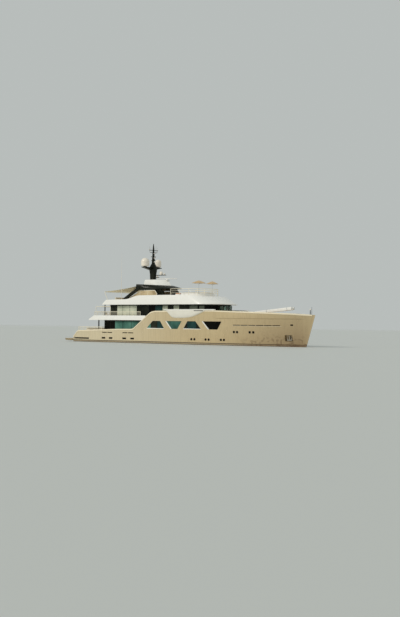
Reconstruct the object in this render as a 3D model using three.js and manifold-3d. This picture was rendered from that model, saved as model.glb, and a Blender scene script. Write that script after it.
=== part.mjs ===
// Three-deck motor yacht, 58 m long, as a 1:2 scale model afloat on its waterline.
// Every size and place below is that of the full ship, in metres: +X towards the bow, +Y to port, +Z up,
// with the origin amidships on the waterline. The exported group is scaled to the model's millimetres.
import * as THREE from "three";
import { mergeVertices } from "three/addons/utils/BufferGeometryUtils.js";
import Module from "manifold-3d";

const wasm = await Module();
wasm.setup();

const MODEL_MM_PER_SHIP_METRE = 500;
const GAP = 0.3 / MODEL_MM_PER_SHIP_METRE; // between pieces that rest on each other
const CLEAR = 0.014; // between pieces that move past each other
const SIDES = { starboard: -1, port: 1 };

// Driving dimensions
const hull = {
  draft: 3.3,
  halfBeamWater: 5.05,
  halfBeamDeck: 5.15,
  transomX: -25.4,
  stemFootX: 27.6,
  stemTop: { x: 29.3, z: 5.47 },
  forefootX: 19,
  skinTop: 6.6,
  knuckleZ: 4.72,
  knuckleStep: 0.1,
  skin: 0.2,
};
const level = {
  platform: 0.6,
  mainDeck: 1.85,
  upperSoffit: 4.3,
  upperDeck: 4.85,
  sunSoffit: 7.27,
  sunDeck: 7.85,
  sunTop: 9.05,
};
const bulkheadX = -5.5; // where the full-beam part of the hull begins

// Finishes
const finish = {
  champagne: { color: 0xc8b691, roughness: 0.35, metalness: 0.3 },
  white: { color: 0xf1efeb, roughness: 0.3, metalness: 0.0 },
  dark: { color: 0x20292a, roughness: 0.4, metalness: 0.2 },
  glass: { color: 0x16292c, roughness: 0.08, metalness: 0.0 },
  antifouling: { color: 0x2a2422, roughness: 0.8, metalness: 0.0 },
  bronze: { color: 0xb08d57, roughness: 0.3, metalness: 0.9 },
  steel: { color: 0xcfcfca, roughness: 0.25, metalness: 0.9 },
  teak: { color: 0xb08a5c, roughness: 0.7, metalness: 0.0 },
  canvas: { color: 0xdcc8a6, roughness: 0.9, metalness: 0.0 },
};

const yacht = new THREE.Group();
yacht.scale.setScalar(MODEL_MM_PER_SHIP_METRE);

function add(name, shape, look, parent = yacht) {
  const geometry = shape.isBufferGeometry ? shape : geometryOf(shape);
  const mesh = new THREE.Mesh(geometry, new THREE.MeshStandardMaterial(finish[look]));
  mesh.name = name;
  parent.add(mesh);
  return mesh;
}

// Solids from geometries and back
function solidOf(geometry) {
  const bare = geometry.index ? geometry.toNonIndexed() : geometry.clone();
  bare.deleteAttribute("normal");
  bare.deleteAttribute("uv");
  const merged = mergeVertices(bare, 1e-5);
  return new wasm.Manifold(
    new wasm.Mesh({
      numProp: 3,
      vertProperties: merged.attributes.position.array,
      triVerts: new Uint32Array(merged.index.array),
    }),
  );
}

function geometryOf(solid) {
  const made = solid.getMesh();
  const geometry = new THREE.BufferGeometry();
  geometry.setAttribute("position", new THREE.BufferAttribute(new Float32Array(made.vertProperties), 3));
  geometry.setIndex(new THREE.BufferAttribute(new Uint32Array(made.triVerts), 1));
  geometry.computeVertexNormals();
  return geometry;
}

function fuse(...solids) {
  return solids.reduce((whole, piece) => whole.add(piece));
}

function box(xs, ys, zs) {
  const shape = new THREE.BoxGeometry(xs[1] - xs[0], ys[1] - ys[0], zs[1] - zs[0]);
  shape.translate((xs[0] + xs[1]) / 2, (ys[0] + ys[1]) / 2, (zs[0] + zs[1]) / 2);
  return solidOf(shape);
}

// A straight rod from one point to another, tapering from the first radius to the second
function rod(from, to, radius, sides = 8, endRadius = radius) {
  const start = new THREE.Vector3(...from);
  const along = new THREE.Vector3(...to).sub(start);
  const shape = new THREE.CylinderGeometry(endRadius, radius, along.length(), sides);
  shape.translate(0, along.length() / 2, 0);
  const up = new THREE.Vector3(0, 1, 0);
  shape.applyQuaternion(new THREE.Quaternion().setFromUnitVectors(up, along.normalize()));
  shape.translate(start.x, start.y, start.z);
  return solidOf(shape);
}

// A round hole in which a rod of the given radius turns with a small gap all round
function bore(from, to, radius, sides = 16) {
  return rod(from, to, (radius + GAP) / Math.cos(Math.PI / sides), sides);
}

// A profile of [radius, height] pairs turned about +Z
function turned(profile, sides = 16) {
  const shape = new THREE.LatheGeometry(profile.map(([r, z]) => new THREE.Vector2(r, z)), sides);
  shape.rotateX(Math.PI / 2);
  return facingOut(shape);
}

function facingOut(geometry) {
  const solid = solidOf(geometry);
  if (solid.volume() > 0) return solid;
  const flat = geometry.index ? geometry.toNonIndexed() : geometry.clone();
  const p = flat.attributes.position;
  for (let i = 0; i < p.count; i += 3) {
    const second = new THREE.Vector3().fromBufferAttribute(p, i + 1);
    const third = new THREE.Vector3().fromBufferAttribute(p, i + 2);
    p.setXYZ(i + 1, third.x, third.y, third.z);
    p.setXYZ(i + 2, second.x, second.y, second.z);
  }
  return solidOf(flat);
}

// A plan outline of [x, y] points raised from one height to another
function planPrism(outline, zs) {
  const shape = new THREE.Shape(outline.map(([x, y]) => new THREE.Vector2(x, y)));
  const body = new THREE.ExtrudeGeometry(shape, { depth: zs[1] - zs[0], bevelEnabled: false });
  body.translate(0, 0, zs[0]);
  return facingOut(body);
}

// A side outline of [x, z] points carried across from one y to another
function sidePrism(outline, ys) {
  const shape = new THREE.Shape(outline.map(([x, z]) => new THREE.Vector2(x, z)));
  const body = new THREE.ExtrudeGeometry(shape, { depth: ys[1] - ys[0], bevelEnabled: false });
  body.rotateX(Math.PI / 2);
  body.translate(0, ys[1], 0);
  return facingOut(body);
}

// A skin over rings of points, one ring after another, closed at both ends
function loft(rings) {
  const count = rings[0].length;
  const points = [];
  const push = (...corners) => corners.forEach((c) => points.push(...c));
  for (let i = 0; i + 1 < rings.length; i++) {
    for (let k = 0; k < count; k++) {
      const next = (k + 1) % count;
      const [a, b, c, d] = [rings[i][k], rings[i][next], rings[i + 1][next], rings[i + 1][k]];
      push(a, b, c, a, c, d);
    }
  }
  const first = rings[0];
  const last = rings[rings.length - 1];
  for (const [faces, ring] of [[capOf(first), first], [capOf(last), last]]) {
    for (const [a, b, c] of faces) {
      if (ring === first) push(ring[a], ring[c], ring[b]);
      else push(ring[a], ring[b], ring[c]);
    }
  }
  const geometry = new THREE.BufferGeometry();
  geometry.setAttribute("position", new THREE.Float32BufferAttribute(points, 3));
  return facingOut(geometry);
}

// Triangles of a flat ring, in its own order of points
function capOf(ring) {
  const normal = new THREE.Vector3();
  const p = ring.map((c) => new THREE.Vector3(...c));
  p.forEach((a, i) => normal.add(new THREE.Vector3().crossVectors(a, p[(i + 1) % p.length])));
  const flat = new THREE.Quaternion().setFromUnitVectors(normal.normalize(), new THREE.Vector3(0, 0, 1));
  const outline = p.map((a) => {
    const q = a.clone().applyQuaternion(flat);
    return new THREE.Vector2(q.x, q.y);
  });
  return THREE.ShapeUtils.triangulateShape(outline, []);
}

// The whole outline from its port half, listed from the stern forward
function mirrored(half) {
  const starboard = half.filter(([, y]) => y > 0).map(([x, y]) => [x, -y]);
  return [...starboard, ...[...half].reverse()];
}

// A tier of the superstructure: its sides run from a lower half outline to an upper one
function tier(lower, upper, zs) {
  const ringAt = (half, z) => mirrored(half).map(([x, y]) => [x, y, z]);
  return loft([ringAt(lower, zs[0]), ringAt(upper, zs[1])]);
}

function mix(a, b, share) {
  return a + (b - a) * share;
}

// The port half of an elliptic front, from its full breadth to the centre line
function roundFront({ x, long, half }) {
  return [0, 20, 38, 54, 68, 80, 90].map((degrees) => {
    const turn = THREE.MathUtils.degToRad(degrees);
    return [x + long * Math.sin(turn), degrees === 90 ? 0 : half * Math.cos(turn)];
  });
}

// Hull form
function keelZ(x) {
  const bowRun = hull.stemFootX - hull.forefootX;
  if (x > hull.stemFootX) {
    return ((x - hull.stemFootX) / (hull.stemTop.x - hull.stemFootX)) * hull.stemTop.z;
  }
  if (x > hull.forefootX) return -hull.draft * (1 - ((x - hull.forefootX) / bowRun) ** 2.6);
  if (x > -6) return -hull.draft;
  return -hull.draft + 2.7 * ((-6 - x) / 19.4) ** 1.4;
}

// Half the hull's breadth at a place along it and a height
function halfBreadth(x, z) {
  const high = Math.max(0, z) / hull.stemTop.z;
  const full = mix(hull.halfBeamWater, hull.halfBeamDeck, Math.min(1, high));
  const shoulderX = mix(0, 6, Math.min(1, high));
  const stemX = mix(hull.stemFootX, hull.stemTop.x, high);
  const power = mix(1.9, 2.3, Math.min(1, high));
  let y = full;
  if (x > shoulderX) y = full * (1 - Math.min(1, (x - shoulderX) / (stemX - shoulderX)) ** power);
  if (x < -12) y -= mix(0.45, 0.25, Math.min(1, high)) * ((-12 - x) / 13.4) ** 2;
  if (z < 0) {
    const keel = Math.min(keelZ(x), -0.01);
    const up = Math.min(1, Math.max(0, (z - keel) / -keel));
    const fullness = mix(3.0, 1.35, Math.min(1, Math.max(0, x / 27)));
    y *= (1 - (1 - up) ** fullness) ** (1 / fullness);
  }
  return Math.max(y, 0.05);
}

// The bulwark strake above the knuckle stands proud of the topside, from the bridge to near the stem
function knuckleOut(x) {
  return hull.knuckleStep * Math.min(1, Math.max(0, (x - 11) / 1.5), Math.max(0, (28 - x) / 1.2));
}

function hullRing(x) {
  const keel = keelZ(x);
  const below = [0.05, 0.2, 0.5, 1].map((share) => keel + share * -keel);
  const above = [2.3, hull.knuckleZ, hull.knuckleZ + 0.08, hull.skinTop];
  const heights = (keel < 0 ? below : [0, 0, 0, 0]).concat(above);
  const side = heights.map((z, i) => {
    const real = Math.max(z, keel + 0.02 * (i + 1));
    const proud = i >= heights.length - 2 ? knuckleOut(x) : 0;
    return [x, halfBreadth(x, real) + proud, real];
  });
  const mirror = side.map(([px, y, z]) => [px, -y, z]).reverse();
  return [[x, 0, keel], ...side, ...mirror];
}

const stationX = [
  -25.4, -24, -22, -19, -16, -12, -8, -4, 0, 3, 6, 9, 11, 12.5, 14.5, 17, 19, 21, 23, 24.5, 26, 27, 27.6, 28.2,
  28.8, 29.6,
];

// What is cut away above the sheer, the shoulder and the raked transom: x, z
const sheer = [
  [-27, 0.98], [-25.4, 0.98], [-24.1, 2.24], [-12.4, 2.62], [-8.5, 2.66], [-3.95, 5.87], [-2.9, 6.06],
  [11, 6.17], [20.7, 5.86], [25.2, 5.71], [29.4, 5.47], [31, 5.4],
];
const aboveSheer = [...sheer, [31, 12], [-27, 12]];

// A strip that follows the topside between two heights and two depths from the skin
function sideStrip(side, xs, zs, depths, steps) {
  const rings = [];
  for (let i = 0; i <= steps; i++) {
    const x = mix(xs[0], xs[1], i / steps);
    const at = (z, depth) => [x, side * (halfBreadth(x, z) - depth), z];
    rings.push([at(zs[0], depths[0]), at(zs[1], depths[0]), at(zs[1], depths[1]), at(zs[0], depths[1])]);
  }
  return loft(rings);
}

// The four large windows of the owner's deck in the topside: foot from and to, head from and to
const topsideWindows = [
  { foot: [-5.0, -0.46], head: [-3.42, -1.48] },
  { foot: [1.1, 2.79], head: [-0.21, 3.82] },
  { foot: [4.12, 8.26], head: [5.14, 7.06] },
  { foot: [9.73, 11.77], head: [8.49, 12.73] },
];
const topsideWindowZ = [2.8, 4.22];
const topsideGlass = { xs: [-5.2, 12.9], zs: [2.66, 4.36], depths: [0.13, 0.19], steps: 8 };

// The deck wells: plan outlines that follow the hull's inside
function wellOutline(xs, z, inset) {
  const half = xs.map((x) => [x, halfBreadth(x, z) - inset]);
  return mirrored(half);
}

const stairs = { ys: [3.25, 4.45], first: -25.05, tread: 0.33, rise: 0.21, count: 6 };
const transom = { foot: { x: -25.4, z: 0.98 }, head: { x: -24.1, z: 2.24 } };
const transomRun = transom.head.x - transom.foot.x;
const transomSlope = Math.atan2(transom.head.z - transom.foot.z, transomRun); // from level
const anchorPocket = { xs: [24.1, 25.4], zs: [0.95, 2.0], depth: 0.55 };

function makeHull() {
  let body = loft(stationX.map(hullRing));
  const bulb = new THREE.SphereGeometry(1, 16, 10);
  bulb.scale(2.7, 0.75, 0.85);
  bulb.translate(25.9, 0, -2.2);
  body = body.add(solidOf(bulb));
  body = body.subtract(sidePrism(aboveSheer, [-8, 8]));
  const aftWell = wellOutline([-23.9, -22, -19, -16, -12, bulkheadX], level.mainDeck, hull.skin);
  body = body.subtract(planPrism(aftWell, [level.mainDeck, 12]));
  const foreXs = [bulkheadX, 0, 5, 9, 12, 15, 18, 21, 23.5, 25.5, 27, 28];
  const foreWell = wellOutline(foreXs, level.upperDeck, hull.skin);
  body = body.subtract(planPrism(foreWell, [level.upperDeck, 12]));
  for (const side of Object.values(SIDES)) {
    for (const { foot, head } of topsideWindows) {
      const [z0, z1] = topsideWindowZ;
      const outline = [[foot[0], z0], [foot[1], z0], [head[1], z1], [head[0], z1]];
      body = body.subtract(sidePrism(outline, side < 0 ? [-5.6, -4.7] : [4.7, 5.6]));
    }
    const slot = topsideGlass;
    const depths = [slot.depths[0] - GAP, slot.depths[1] + GAP];
    const xs = [slot.xs[0] - GAP, slot.xs[1] + GAP];
    const zs = [slot.zs[0] - GAP, slot.zs[1] + GAP];
    body = body.subtract(sideStrip(side, xs, zs, depths, slot.steps));
    body = body.subtract(sideStrip(side, [-25.6, -20.65], [0.55, 0.84], [-0.3, 0.4], 2));
    body = body.subtract(sideStrip(side, [14.95, 23.6], [3.52, 3.68], [-0.3, 0.25], 6));
    body = body.subtract(sideStrip(side, anchorPocket.xs, anchorPocket.zs, [-0.3, anchorPocket.depth], 1));
    for (let i = 0; i < stairs.count; i++) {
      const ys = side < 0 ? [-stairs.ys[1], -stairs.ys[0]] : stairs.ys;
      const floor = level.platform + 0.012 + stairs.rise * i;
      body = body.subtract(box([-26, stairs.first + stairs.tread * i], ys, [floor, 3]));
    }
  }
  return body;
}

let hullBody = makeHull();

// Underwater fittings that are part of the hull: skeg, shaft lines with their brackets, and the seats of the
// rudder stocks and fin shafts
const gear = { shaftY: 2.3, shaftZ: -2.45, propX: -21.2, propRadius: 0.85, rudderX: -22.9 };
const fin = { x: -1.2, lean: THREE.MathUtils.degToRad(45), span: 1.7, rootZ: -2.35, seat: 0.08 };
const skegOutline = [[-8.5, -3.3], [-9, -2.4], [-19.5, -1.2], [-19.8, -1.75], [-18.5, -3.15], [-17.8, -3.28]];

// the height of the hull's bottom at a place off the centre line
function keelAt(x, y) {
  let low = keelZ(x);
  let high = 0;
  for (let i = 0; i < 24; i++) {
    const z = (low + high) / 2;
    if (halfBreadth(x, z) < Math.abs(y)) low = z;
    else high = z;
  }
  return high;
}
const rudderSeatZ = keelAt(gear.rudderX + 0.5, gear.shaftY - 0.3) - 0.05;

// a fin shaft's place and direction, out of the turn of the bilge
function finAxis(side) {
  let y = 0;
  while (halfBreadth(fin.x, fin.rootZ) > y) y += 0.002;
  const out = [0, side * Math.cos(fin.lean), -Math.sin(fin.lean)];
  const root = [fin.x, side * (y + 0.02), fin.rootZ];
  return { root, at: (reach) => root.map((c, i) => c + reach * out[i]) };
}

const keelBar = { xs: [-9, 18], half: 0.2, z: -3.38 };
hullBody = hullBody.add(sidePrism(skegOutline, [-0.16, 0.16]));
hullBody = hullBody.add(box(keelBar.xs, [-keelBar.half, keelBar.half], [keelBar.z, -3.1]));
for (const side of Object.values(SIDES)) {
  const y = side * gear.shaftY;
  const shaft = rod([-11, y, gear.shaftZ], [gear.propX + 0.32, y, gear.shaftZ], 0.13, 10);
  const boss = rod([-19.3, y, gear.shaftZ], [gear.propX + 0.5, y, gear.shaftZ], 0.26, 10);
  const bossing = rod([-16.6, y, gear.shaftZ], [-11, y, gear.shaftZ + 0.1], 0.3, 10);
  const legs = [-0.9, 0.9].map((out) =>
    rod([-20.1, y, gear.shaftZ], [-19.9, y + out, keelAt(-19.9, y + out) + 0.35], 0.11, 6),
  );
  const rudderSeat = rod([gear.rudderX, y, rudderSeatZ], [gear.rudderX, y, rudderSeatZ + 0.9], 0.22, 12);
  const finShaft = finAxis(side);
  const finSeat = rod(finShaft.at(fin.seat), finShaft.at(-0.6), 0.24, 12);
  hullBody = fuse(hullBody, shaft, boss, bossing, ...legs, rudderSeat, finSeat);
}

// Transom door, hinged along its top edge on the raked transom
const transomDoor = { halfWidth: 2.7, thick: 0.12, low: 1.06, high: 2.06 };
function transomX(z) {
  return transom.foot.x + (z - transom.foot.z) / Math.tan(transomSlope);
}
function transomPanel(halfWidth, low, high, depths) {
  const back = (z, depth) => [
    transomX(z) + depth * Math.sin(transomSlope),
    z - depth * Math.cos(transomSlope),
  ];
  const outline = [back(low, depths[0]), back(high, depths[0]), back(high, depths[1]), back(low, depths[1])];
  return sidePrism(outline, [-halfWidth, halfWidth]);
}
const doorRecess = transomPanel(
  transomDoor.halfWidth + CLEAR,
  transomDoor.low - CLEAR,
  transomDoor.high + CLEAR,
  [-0.3, transomDoor.thick + CLEAR],
);
hullBody = hullBody.subtract(doorRecess);
const doorHinge = { x: transomX(transomDoor.high), z: transomDoor.high, radius: 0.05, tail: 0.1 };
function doorLine(reach, shape, radius) {
  const half = transomDoor.halfWidth + reach;
  return shape([doorHinge.x, -half, doorHinge.z], [doorHinge.x, half, doorHinge.z], radius);
}
hullBody = hullBody.subtract(doorLine(doorHinge.tail + CLEAR, bore, doorHinge.radius));
hullBody = hullBody.subtract(doorLine(CLEAR, rod, doorHinge.radius + 1.1 * CLEAR));
const { halfWidth, low, high, thick } = transomDoor;
const doorLeaf = transomPanel(halfWidth, low, high, [0, thick]);
const doorPanel = doorLeaf.add(doorLine(doorHinge.tail, rod, doorHinge.radius));

// The hull is built in three blocks: the lower hull up to the main deck, the raised topsides forward of the
// bulkhead, and the bulwark, which takes in the transom and laps the topsides at the bulkhead
const lap = { x: -4.3, z: 3.9 };
const stern = { x: -23.95, z: 0.3 };
const lowerHull = hullBody
  .intersect(box([-40, 40], [-9, 9], [-9, level.mainDeck]))
  .subtract(box([-40, stern.x], [-9, 9], [stern.z, 9]));
const insideWall = (inset) => {
  const outline = wellOutline([-6.5, lap.x + 1], level.upperDeck, inset);
  return planPrism(outline, [lap.z - 1, level.upperDeck + 0.5]);
};
const lapBlock = (grow, z1) => box([bulkheadX - 0.5, lap.x + grow], [-9, 9], [lap.z - grow, z1]);
const topsides = hullBody
  .intersect(box([bulkheadX, 40], [-9, 9], [level.mainDeck + GAP, level.upperDeck]))
  .subtract(lapBlock(0, level.upperDeck + 0.2).subtract(insideWall(hull.skin + GAP)));
const bulwark = hullBody.intersect(
  fuse(
    box([-40, stern.x - GAP], [-9, 9], [stern.z + GAP, 12]),
    box([-40, bulkheadX - GAP], [-9, 9], [level.mainDeck + GAP, 12]),
    box([bulkheadX - 1, 40], [-9, 9], [level.upperDeck + GAP, 12]),
    lapBlock(-GAP, level.upperDeck + 0.2).subtract(insideWall(hull.skin)),
  ),
);
add("hull", lowerHull, "champagne");
add("topsides", topsides, "champagne");
add("bulwark", bulwark, "champagne");
add("transom_door", doorPanel, "champagne");

// Swim platform
const platform = { xs: [-28.7, -25.4], half: 4.45, zs: [0.22, 0.6], corner: 0.7 };
const platformHalf = [
  [platform.xs[0], platform.half - platform.corner],
  [platform.xs[0] + platform.corner, platform.half],
  [platform.xs[1] - GAP, platform.half],
];
add("swim_platform", planPrism(mirrored(platformHalf), platform.zs), "champagne");

// Topside glass, one long pane a side behind the four windows
for (const [name, side] of Object.entries(SIDES)) {
  const pane = sideStrip(side, topsideGlass.xs, topsideGlass.zs, topsideGlass.depths, topsideGlass.steps);
  add(`topside_glass_${name}`, pane, "glass");
}

// The white bridge-wing plate on each side: x, z
const wingPlate = [
  [-0.25, 6.37], [0.2, 5.95], [1.33, 4.92], [1.9, 4.79], [3.11, 4.76], [4.6, 4.8], [5.92, 4.92], [7.2, 5.25],
  [8.31, 5.68], [9.2, 6.05], [10.81, 6.37],
];
for (const [name, side] of Object.entries(SIDES)) {
  const blank = sideStrip(side, [-0.4, 11], [4.5, 6.6], [-0.14, 0.12], 6);
  const outline = sidePrism(wingPlate, side < 0 ? [-6, -4] : [4, 6]);
  const plate = blank.intersect(outline).subtract(hullBody);
  add(`bridge_wing_${name}`, plate.translate([0, side * GAP, GAP]), "white");
}

// Anchors in their pockets, each lying along its side of the bow
for (const [name, side] of Object.entries(SIDES)) {
  const [aft, fore] = anchorPocket.xs;
  const mid = (aft + fore) / 2;
  const sweep = Math.atan2(halfBreadth(fore, 1.5) - halfBreadth(aft, 1.5), fore - aft);
  const shank = box([-0.09, 0.09], [-0.07, 0.07], [1.15, 1.9]);
  const crown = box([-0.42, 0.42], [-0.09, 0.09], [1.02, 1.25]);
  const flukes = [-1, 1].map((way) =>
    sidePrism([[way * 0.2, 1.08], [way * 0.46, 1.12], [way * 0.38, 1.72]], [-0.05, 0.05]),
  );
  const anchor = fuse(shank, crown, ...flukes).rotate([0, 0, side * THREE.MathUtils.radToDeg(sweep)]);
  const y = side * (halfBreadth(mid, 1.5) - 0.3);
  const pin = rod([mid, y, 1.8], [mid, y - side * 0.4, 1.8], 0.06, 8).subtract(hullBody);
  add(`anchor_${name}`, anchor.translate([mid, y, 0]).add(pin.translate([0, side * GAP, 0])), "steel");
}

// Propellers, rudders and stabiliser fins
function bladesAround(count, blade) {
  let whole = null;
  for (let i = 0; i < count; i++) {
    const turn = blade.rotate([(360 / count) * i, 0, 0]);
    whole = whole ? whole.add(turn) : turn;
  }
  return whole;
}

for (const [name, side] of Object.entries(SIDES)) {
  const y = side * gear.shaftY;
  const prop = new THREE.Group();
  prop.position.set(gear.propX, y, gear.shaftZ);
  const hub = rod([-0.42, 0, 0], [0.32 - GAP, 0, 0], 0.2, 12, 0.24);
  const bladeShape = new THREE.Shape([
    new THREE.Vector2(-0.12, 0.12), new THREE.Vector2(0.14, 0.12), new THREE.Vector2(0.32, 0.5),
    new THREE.Vector2(0.2, 0.78), new THREE.Vector2(0, gear.propRadius), new THREE.Vector2(-0.18, 0.7),
    new THREE.Vector2(-0.22, 0.42),
  ]);
  const bladeBody = new THREE.ExtrudeGeometry(bladeShape, { depth: 0.06, bevelEnabled: false });
  bladeBody.translate(0, 0, -0.03);
  bladeBody.rotateX(Math.PI / 2);
  const blade = facingOut(bladeBody).rotate([0, 0, side * 38]);
  add(`propeller_${name}`, hub.add(bladesAround(5, blade)), "bronze", prop);
  yacht.add(prop);

  const rudderFoil = [
    [0.42, 0], [0.3, 0.1], [0, 0.14], [-0.5, 0.09], [-0.95, 0.015], [-0.95, -0.015], [-0.5, -0.09], [0, -0.14],
    [0.3, -0.1],
  ];
  const rudder = new THREE.Group();
  rudder.position.set(gear.rudderX, y, 0);
  const foil = planPrism(rudderFoil, [-3.15, rudderSeatZ - 0.1]);
  const stock = rod([0, 0, rudderSeatZ - 0.4], [0, 0, rudderSeatZ - GAP], 0.13, 10);
  add(`rudder_${name}`, foil.add(stock), "antifouling", rudder);
  yacht.add(rudder);
}

// Stabiliser fins amidships, each on a shaft that leans out and down
for (const [name, side] of Object.entries(SIDES)) {
  const section = [
    [0.5, 0], [0.35, 0.1], [-0.1, 0.12], [-1.0, 0.02], [-1.0, -0.02], [-0.1, -0.12], [0.35, -0.1],
  ];
  const blade = planPrism(section, [fin.seat + 0.06, fin.span]);
  const stub = rod([0, 0, fin.seat + GAP], [0, 0, fin.seat + 0.3], 0.16, 10);
  const group = new THREE.Group();
  group.position.set(...finAxis(side).root);
  group.rotation.x = side * -(Math.PI / 2 + fin.lean);
  add(`stabiliser_${name}`, blade.add(stub), "antifouling", group);
  yacht.add(group);
}

// Upper deck: a slab carried on two pillars, with a white bulwark round its raked aft end
const upperLower = [[-21.6, 0], [-21.6, 3.2], [-21.4, 4.25], [-20.8, 4.88], [bulkheadX - GAP, 4.92]];
const upperUpper = [[-20.35, 0], [-20.35, 3.1], [-20.15, 4.1], [-19.6, 4.78], [bulkheadX - GAP, 4.84]];
const upperWell = [[-20.1, 0], [-20.1, 3.02], [-19.9, 3.98], [-19.4, 4.66], [-5.2, 4.7]];
const bulwarkTop = 5.21;
const mainPillar = { x: -18.3, y: 4.5, radius: 0.12 };
// the wing of the hull narrows both where they pass
const wingRoom = wellOutline([-24, -19, -12, bulkheadX], level.mainDeck, hull.skin + GAP);
const upperWhole = tier(upperLower, upperUpper, [level.upperSoffit, bulwarkTop]).intersect(
  planPrism(wingRoom, [0, 8]),
);
const upperBulwark = upperWhole
  .intersect(box([-30, 0], [-9, 9], [level.upperDeck + GAP, 8]))
  .subtract(planPrism(mirrored(upperWell), [level.upperDeck, 8]));
let upperDeck = upperWhole.intersect(box([-30, 0], [-9, 9], [0, level.upperDeck]));
for (const side of Object.values(SIDES)) {
  const y = side * mainPillar.y;
  const foot = level.mainDeck + GAP;
  upperDeck = upperDeck.add(
    rod([mainPillar.x, y, foot], [mainPillar.x, y, level.upperSoffit + 0.1], mainPillar.radius, 10),
  );
}
add("upper_deck", upperDeck, "white");

// Deckhouses: rings of wall between deck and soffit, with the window openings cut
const wall = 0.14;
const mainHouse = { xs: [-17.3, bulkheadX - 2 * GAP], half: 3.95, door: 1.7 };
const mainZ = [level.mainDeck + GAP, level.upperSoffit - GAP];
const glassZ = { main: [2.1, 4.12], upper: [5.2, 7.1], bridge: [5.85, 7.05] };
function makeMainHouse() {
  const { xs, half, door } = mainHouse;
  let body = box(xs, [-half, half], mainZ);
  body = body.subtract(box([xs[0] + wall, xs[1] - wall], [-half + wall, half - wall], [0, 6]));
  body = body.subtract(box([-16.85, -6.3], [-5, 5], [2.2, 4.02]));
  body = body.subtract(box([-18, -17], [-door, door], [1.93, 4.02]));
  const track = box([xs[0] - 0.14, xs[0] + 0.05], [-3.6, 3.6], [4.08, 4.18]);
  return body.add(track);
}
add("main_deckhouse", makeMainHouse(), "dark");
const paneThick = 0.05;
for (const [name, side] of Object.entries(SIDES)) {
  const out = [mainHouse.half + GAP, mainHouse.half + paneThick];
  const ys = side < 0 ? [-out[1], -out[0]] : out;
  add(`main_glass_${name}`, box([-17.1, -5.75], ys, glassZ.main), "glass");
}

const upperHouse = {
  half: [[-15.95, 3.75], [6.8, 3.75], [8.5, 3.25], [9.55, 2.2], [9.95, 1.1], [10.05, 0]],
  sideEnd: 6.5,
  door: 1.0,
};
const upperZ = [level.upperDeck + GAP, level.sunSoffit - GAP];
function insetOutline(half, inset) {
  // each corner is moved in square to the walls that meet there
  const loop = mirrored(half);
  const moved = loop.map((point, i) => {
    const before = loop[(i + loop.length - 1) % loop.length];
    const after = loop[(i + 1) % loop.length];
    const first = new THREE.Vector2(point[0] - before[0], point[1] - before[1]).normalize();
    const second = new THREE.Vector2(after[0] - point[0], after[1] - point[1]).normalize();
    const firstIn = new THREE.Vector2(-first.y, first.x);
    const secondIn = new THREE.Vector2(-second.y, second.x);
    const reach = firstIn.clone().add(secondIn);
    const scale = (2 * inset) / reach.dot(reach);
    return [point[0] + reach.x * scale, point[1] + reach.y * scale];
  });
  return moved;
}
function makeUpperHouse() {
  let body = planPrism(mirrored(upperHouse.half), upperZ);
  body = body.subtract(planPrism(insetOutline(upperHouse.half, wall), [0, 9]));
  const { door, sideEnd } = upperHouse;
  body = body.subtract(box([-15.5, sideEnd], [-5, 5], [5.3, 7.0]));
  body = body.subtract(box([-17, -15.5], [-door, door], [4.93, 7.0]));
  const front = upperHouse.half.slice(1);
  for (let i = 0; i + 1 < front.length; i++) {
    for (const side of Object.values(SIDES)) {
      const [a, b] = [front[i], front[i + 1]];
      const long = Math.hypot(b[0] - a[0], b[1] - a[1]);
      const hole = new THREE.BoxGeometry(long - 0.3, 0.8, 1.0);
      hole.rotateZ(Math.atan2(side * (b[1] - a[1]), b[0] - a[0]));
      hole.translate((a[0] + b[0]) / 2, (side * (a[1] + b[1])) / 2, 6.45);
      body = body.subtract(solidOf(hole));
    }
  }
  const track = box([-16.09, -15.9], [-3.5, 3.5], [7.06, 7.16]);
  return body.add(track);
}
add("upper_deckhouse", makeUpperHouse(), "dark");
const upperGlassFront = insetOutline(upperHouse.half, -paneThick);
let upperGlass = planPrism(upperGlassFront, glassZ.upper);
upperGlass = upperGlass.subtract(planPrism(insetOutline(upperHouse.half, -GAP), [5, 8]));
upperGlass = upperGlass.subtract(box([-20, -15.7], [-5, 5], [4, 9]));
upperGlass = upperGlass.subtract(box([upperHouse.sideEnd + 0.2, 12], [-5, 5], [4, glassZ.bridge[0]]));
add("upper_glass", upperGlass, "glass");

// Sliding glass doors across the aft end of each deckhouse
const mainDoorZ = [level.mainDeck + 0.02, 4.08 - GAP];
for (const [name, side] of Object.entries(SIDES)) {
  const ys = side < 0 ? [-1.8, -CLEAR / 2] : [CLEAR / 2, 1.8];
  add(`main_door_${name}`, box([-17.38, -17.3 - CLEAR], ys, mainDoorZ), "glass");
}
const upperDoorZ = [level.upperDeck + 0.02, 7.06 - GAP];
add("upper_door", box([-16.03, -15.95 - CLEAR], [-1.15, 1.15], upperDoorZ), "glass");

// Sun deck: slab, bulwark and the brow over the bridge windows, with the raised forward deck
const sunFront = { lower: { x: 6.7, long: 4.5, half: 4.9 }, upper: { x: 4.3, long: 3.5, half: 4.6 } };
const sunLower = [
  [-17.9, 0], [-17.9, 3.2], [-17.7, 4.2], [-17.1, 4.88], [3.0, 4.95], ...roundFront(sunFront.lower),
];
const sunUpper = [
  [-15.75, 0], [-15.75, 3.0], [-15.6, 3.95], [-15.1, 4.62], [0.0, 4.75], ...roundFront(sunFront.upper),
];
const sunCutAbove = [
  [-20, 8.2], [-10.4, 8.33], [-7.8, 9.04], [0, 9.05], [8.2, 8.86], [12, 8.8], [12, 12], [-20, 12],
];
const sunWell = [[-15.9, 0], [-15.9, 3.1], [-15.7, 3.85], [-15.2, 4.45], [-0.6, 4.5]];
const sunPillar = { x: -16.7, y: 4.45, radius: 0.1 };
let sunDeck = tier(sunLower, sunUpper, [level.sunSoffit, level.sunTop]);
sunDeck = sunDeck.subtract(sidePrism(sunCutAbove, [-8, 8]));
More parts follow.
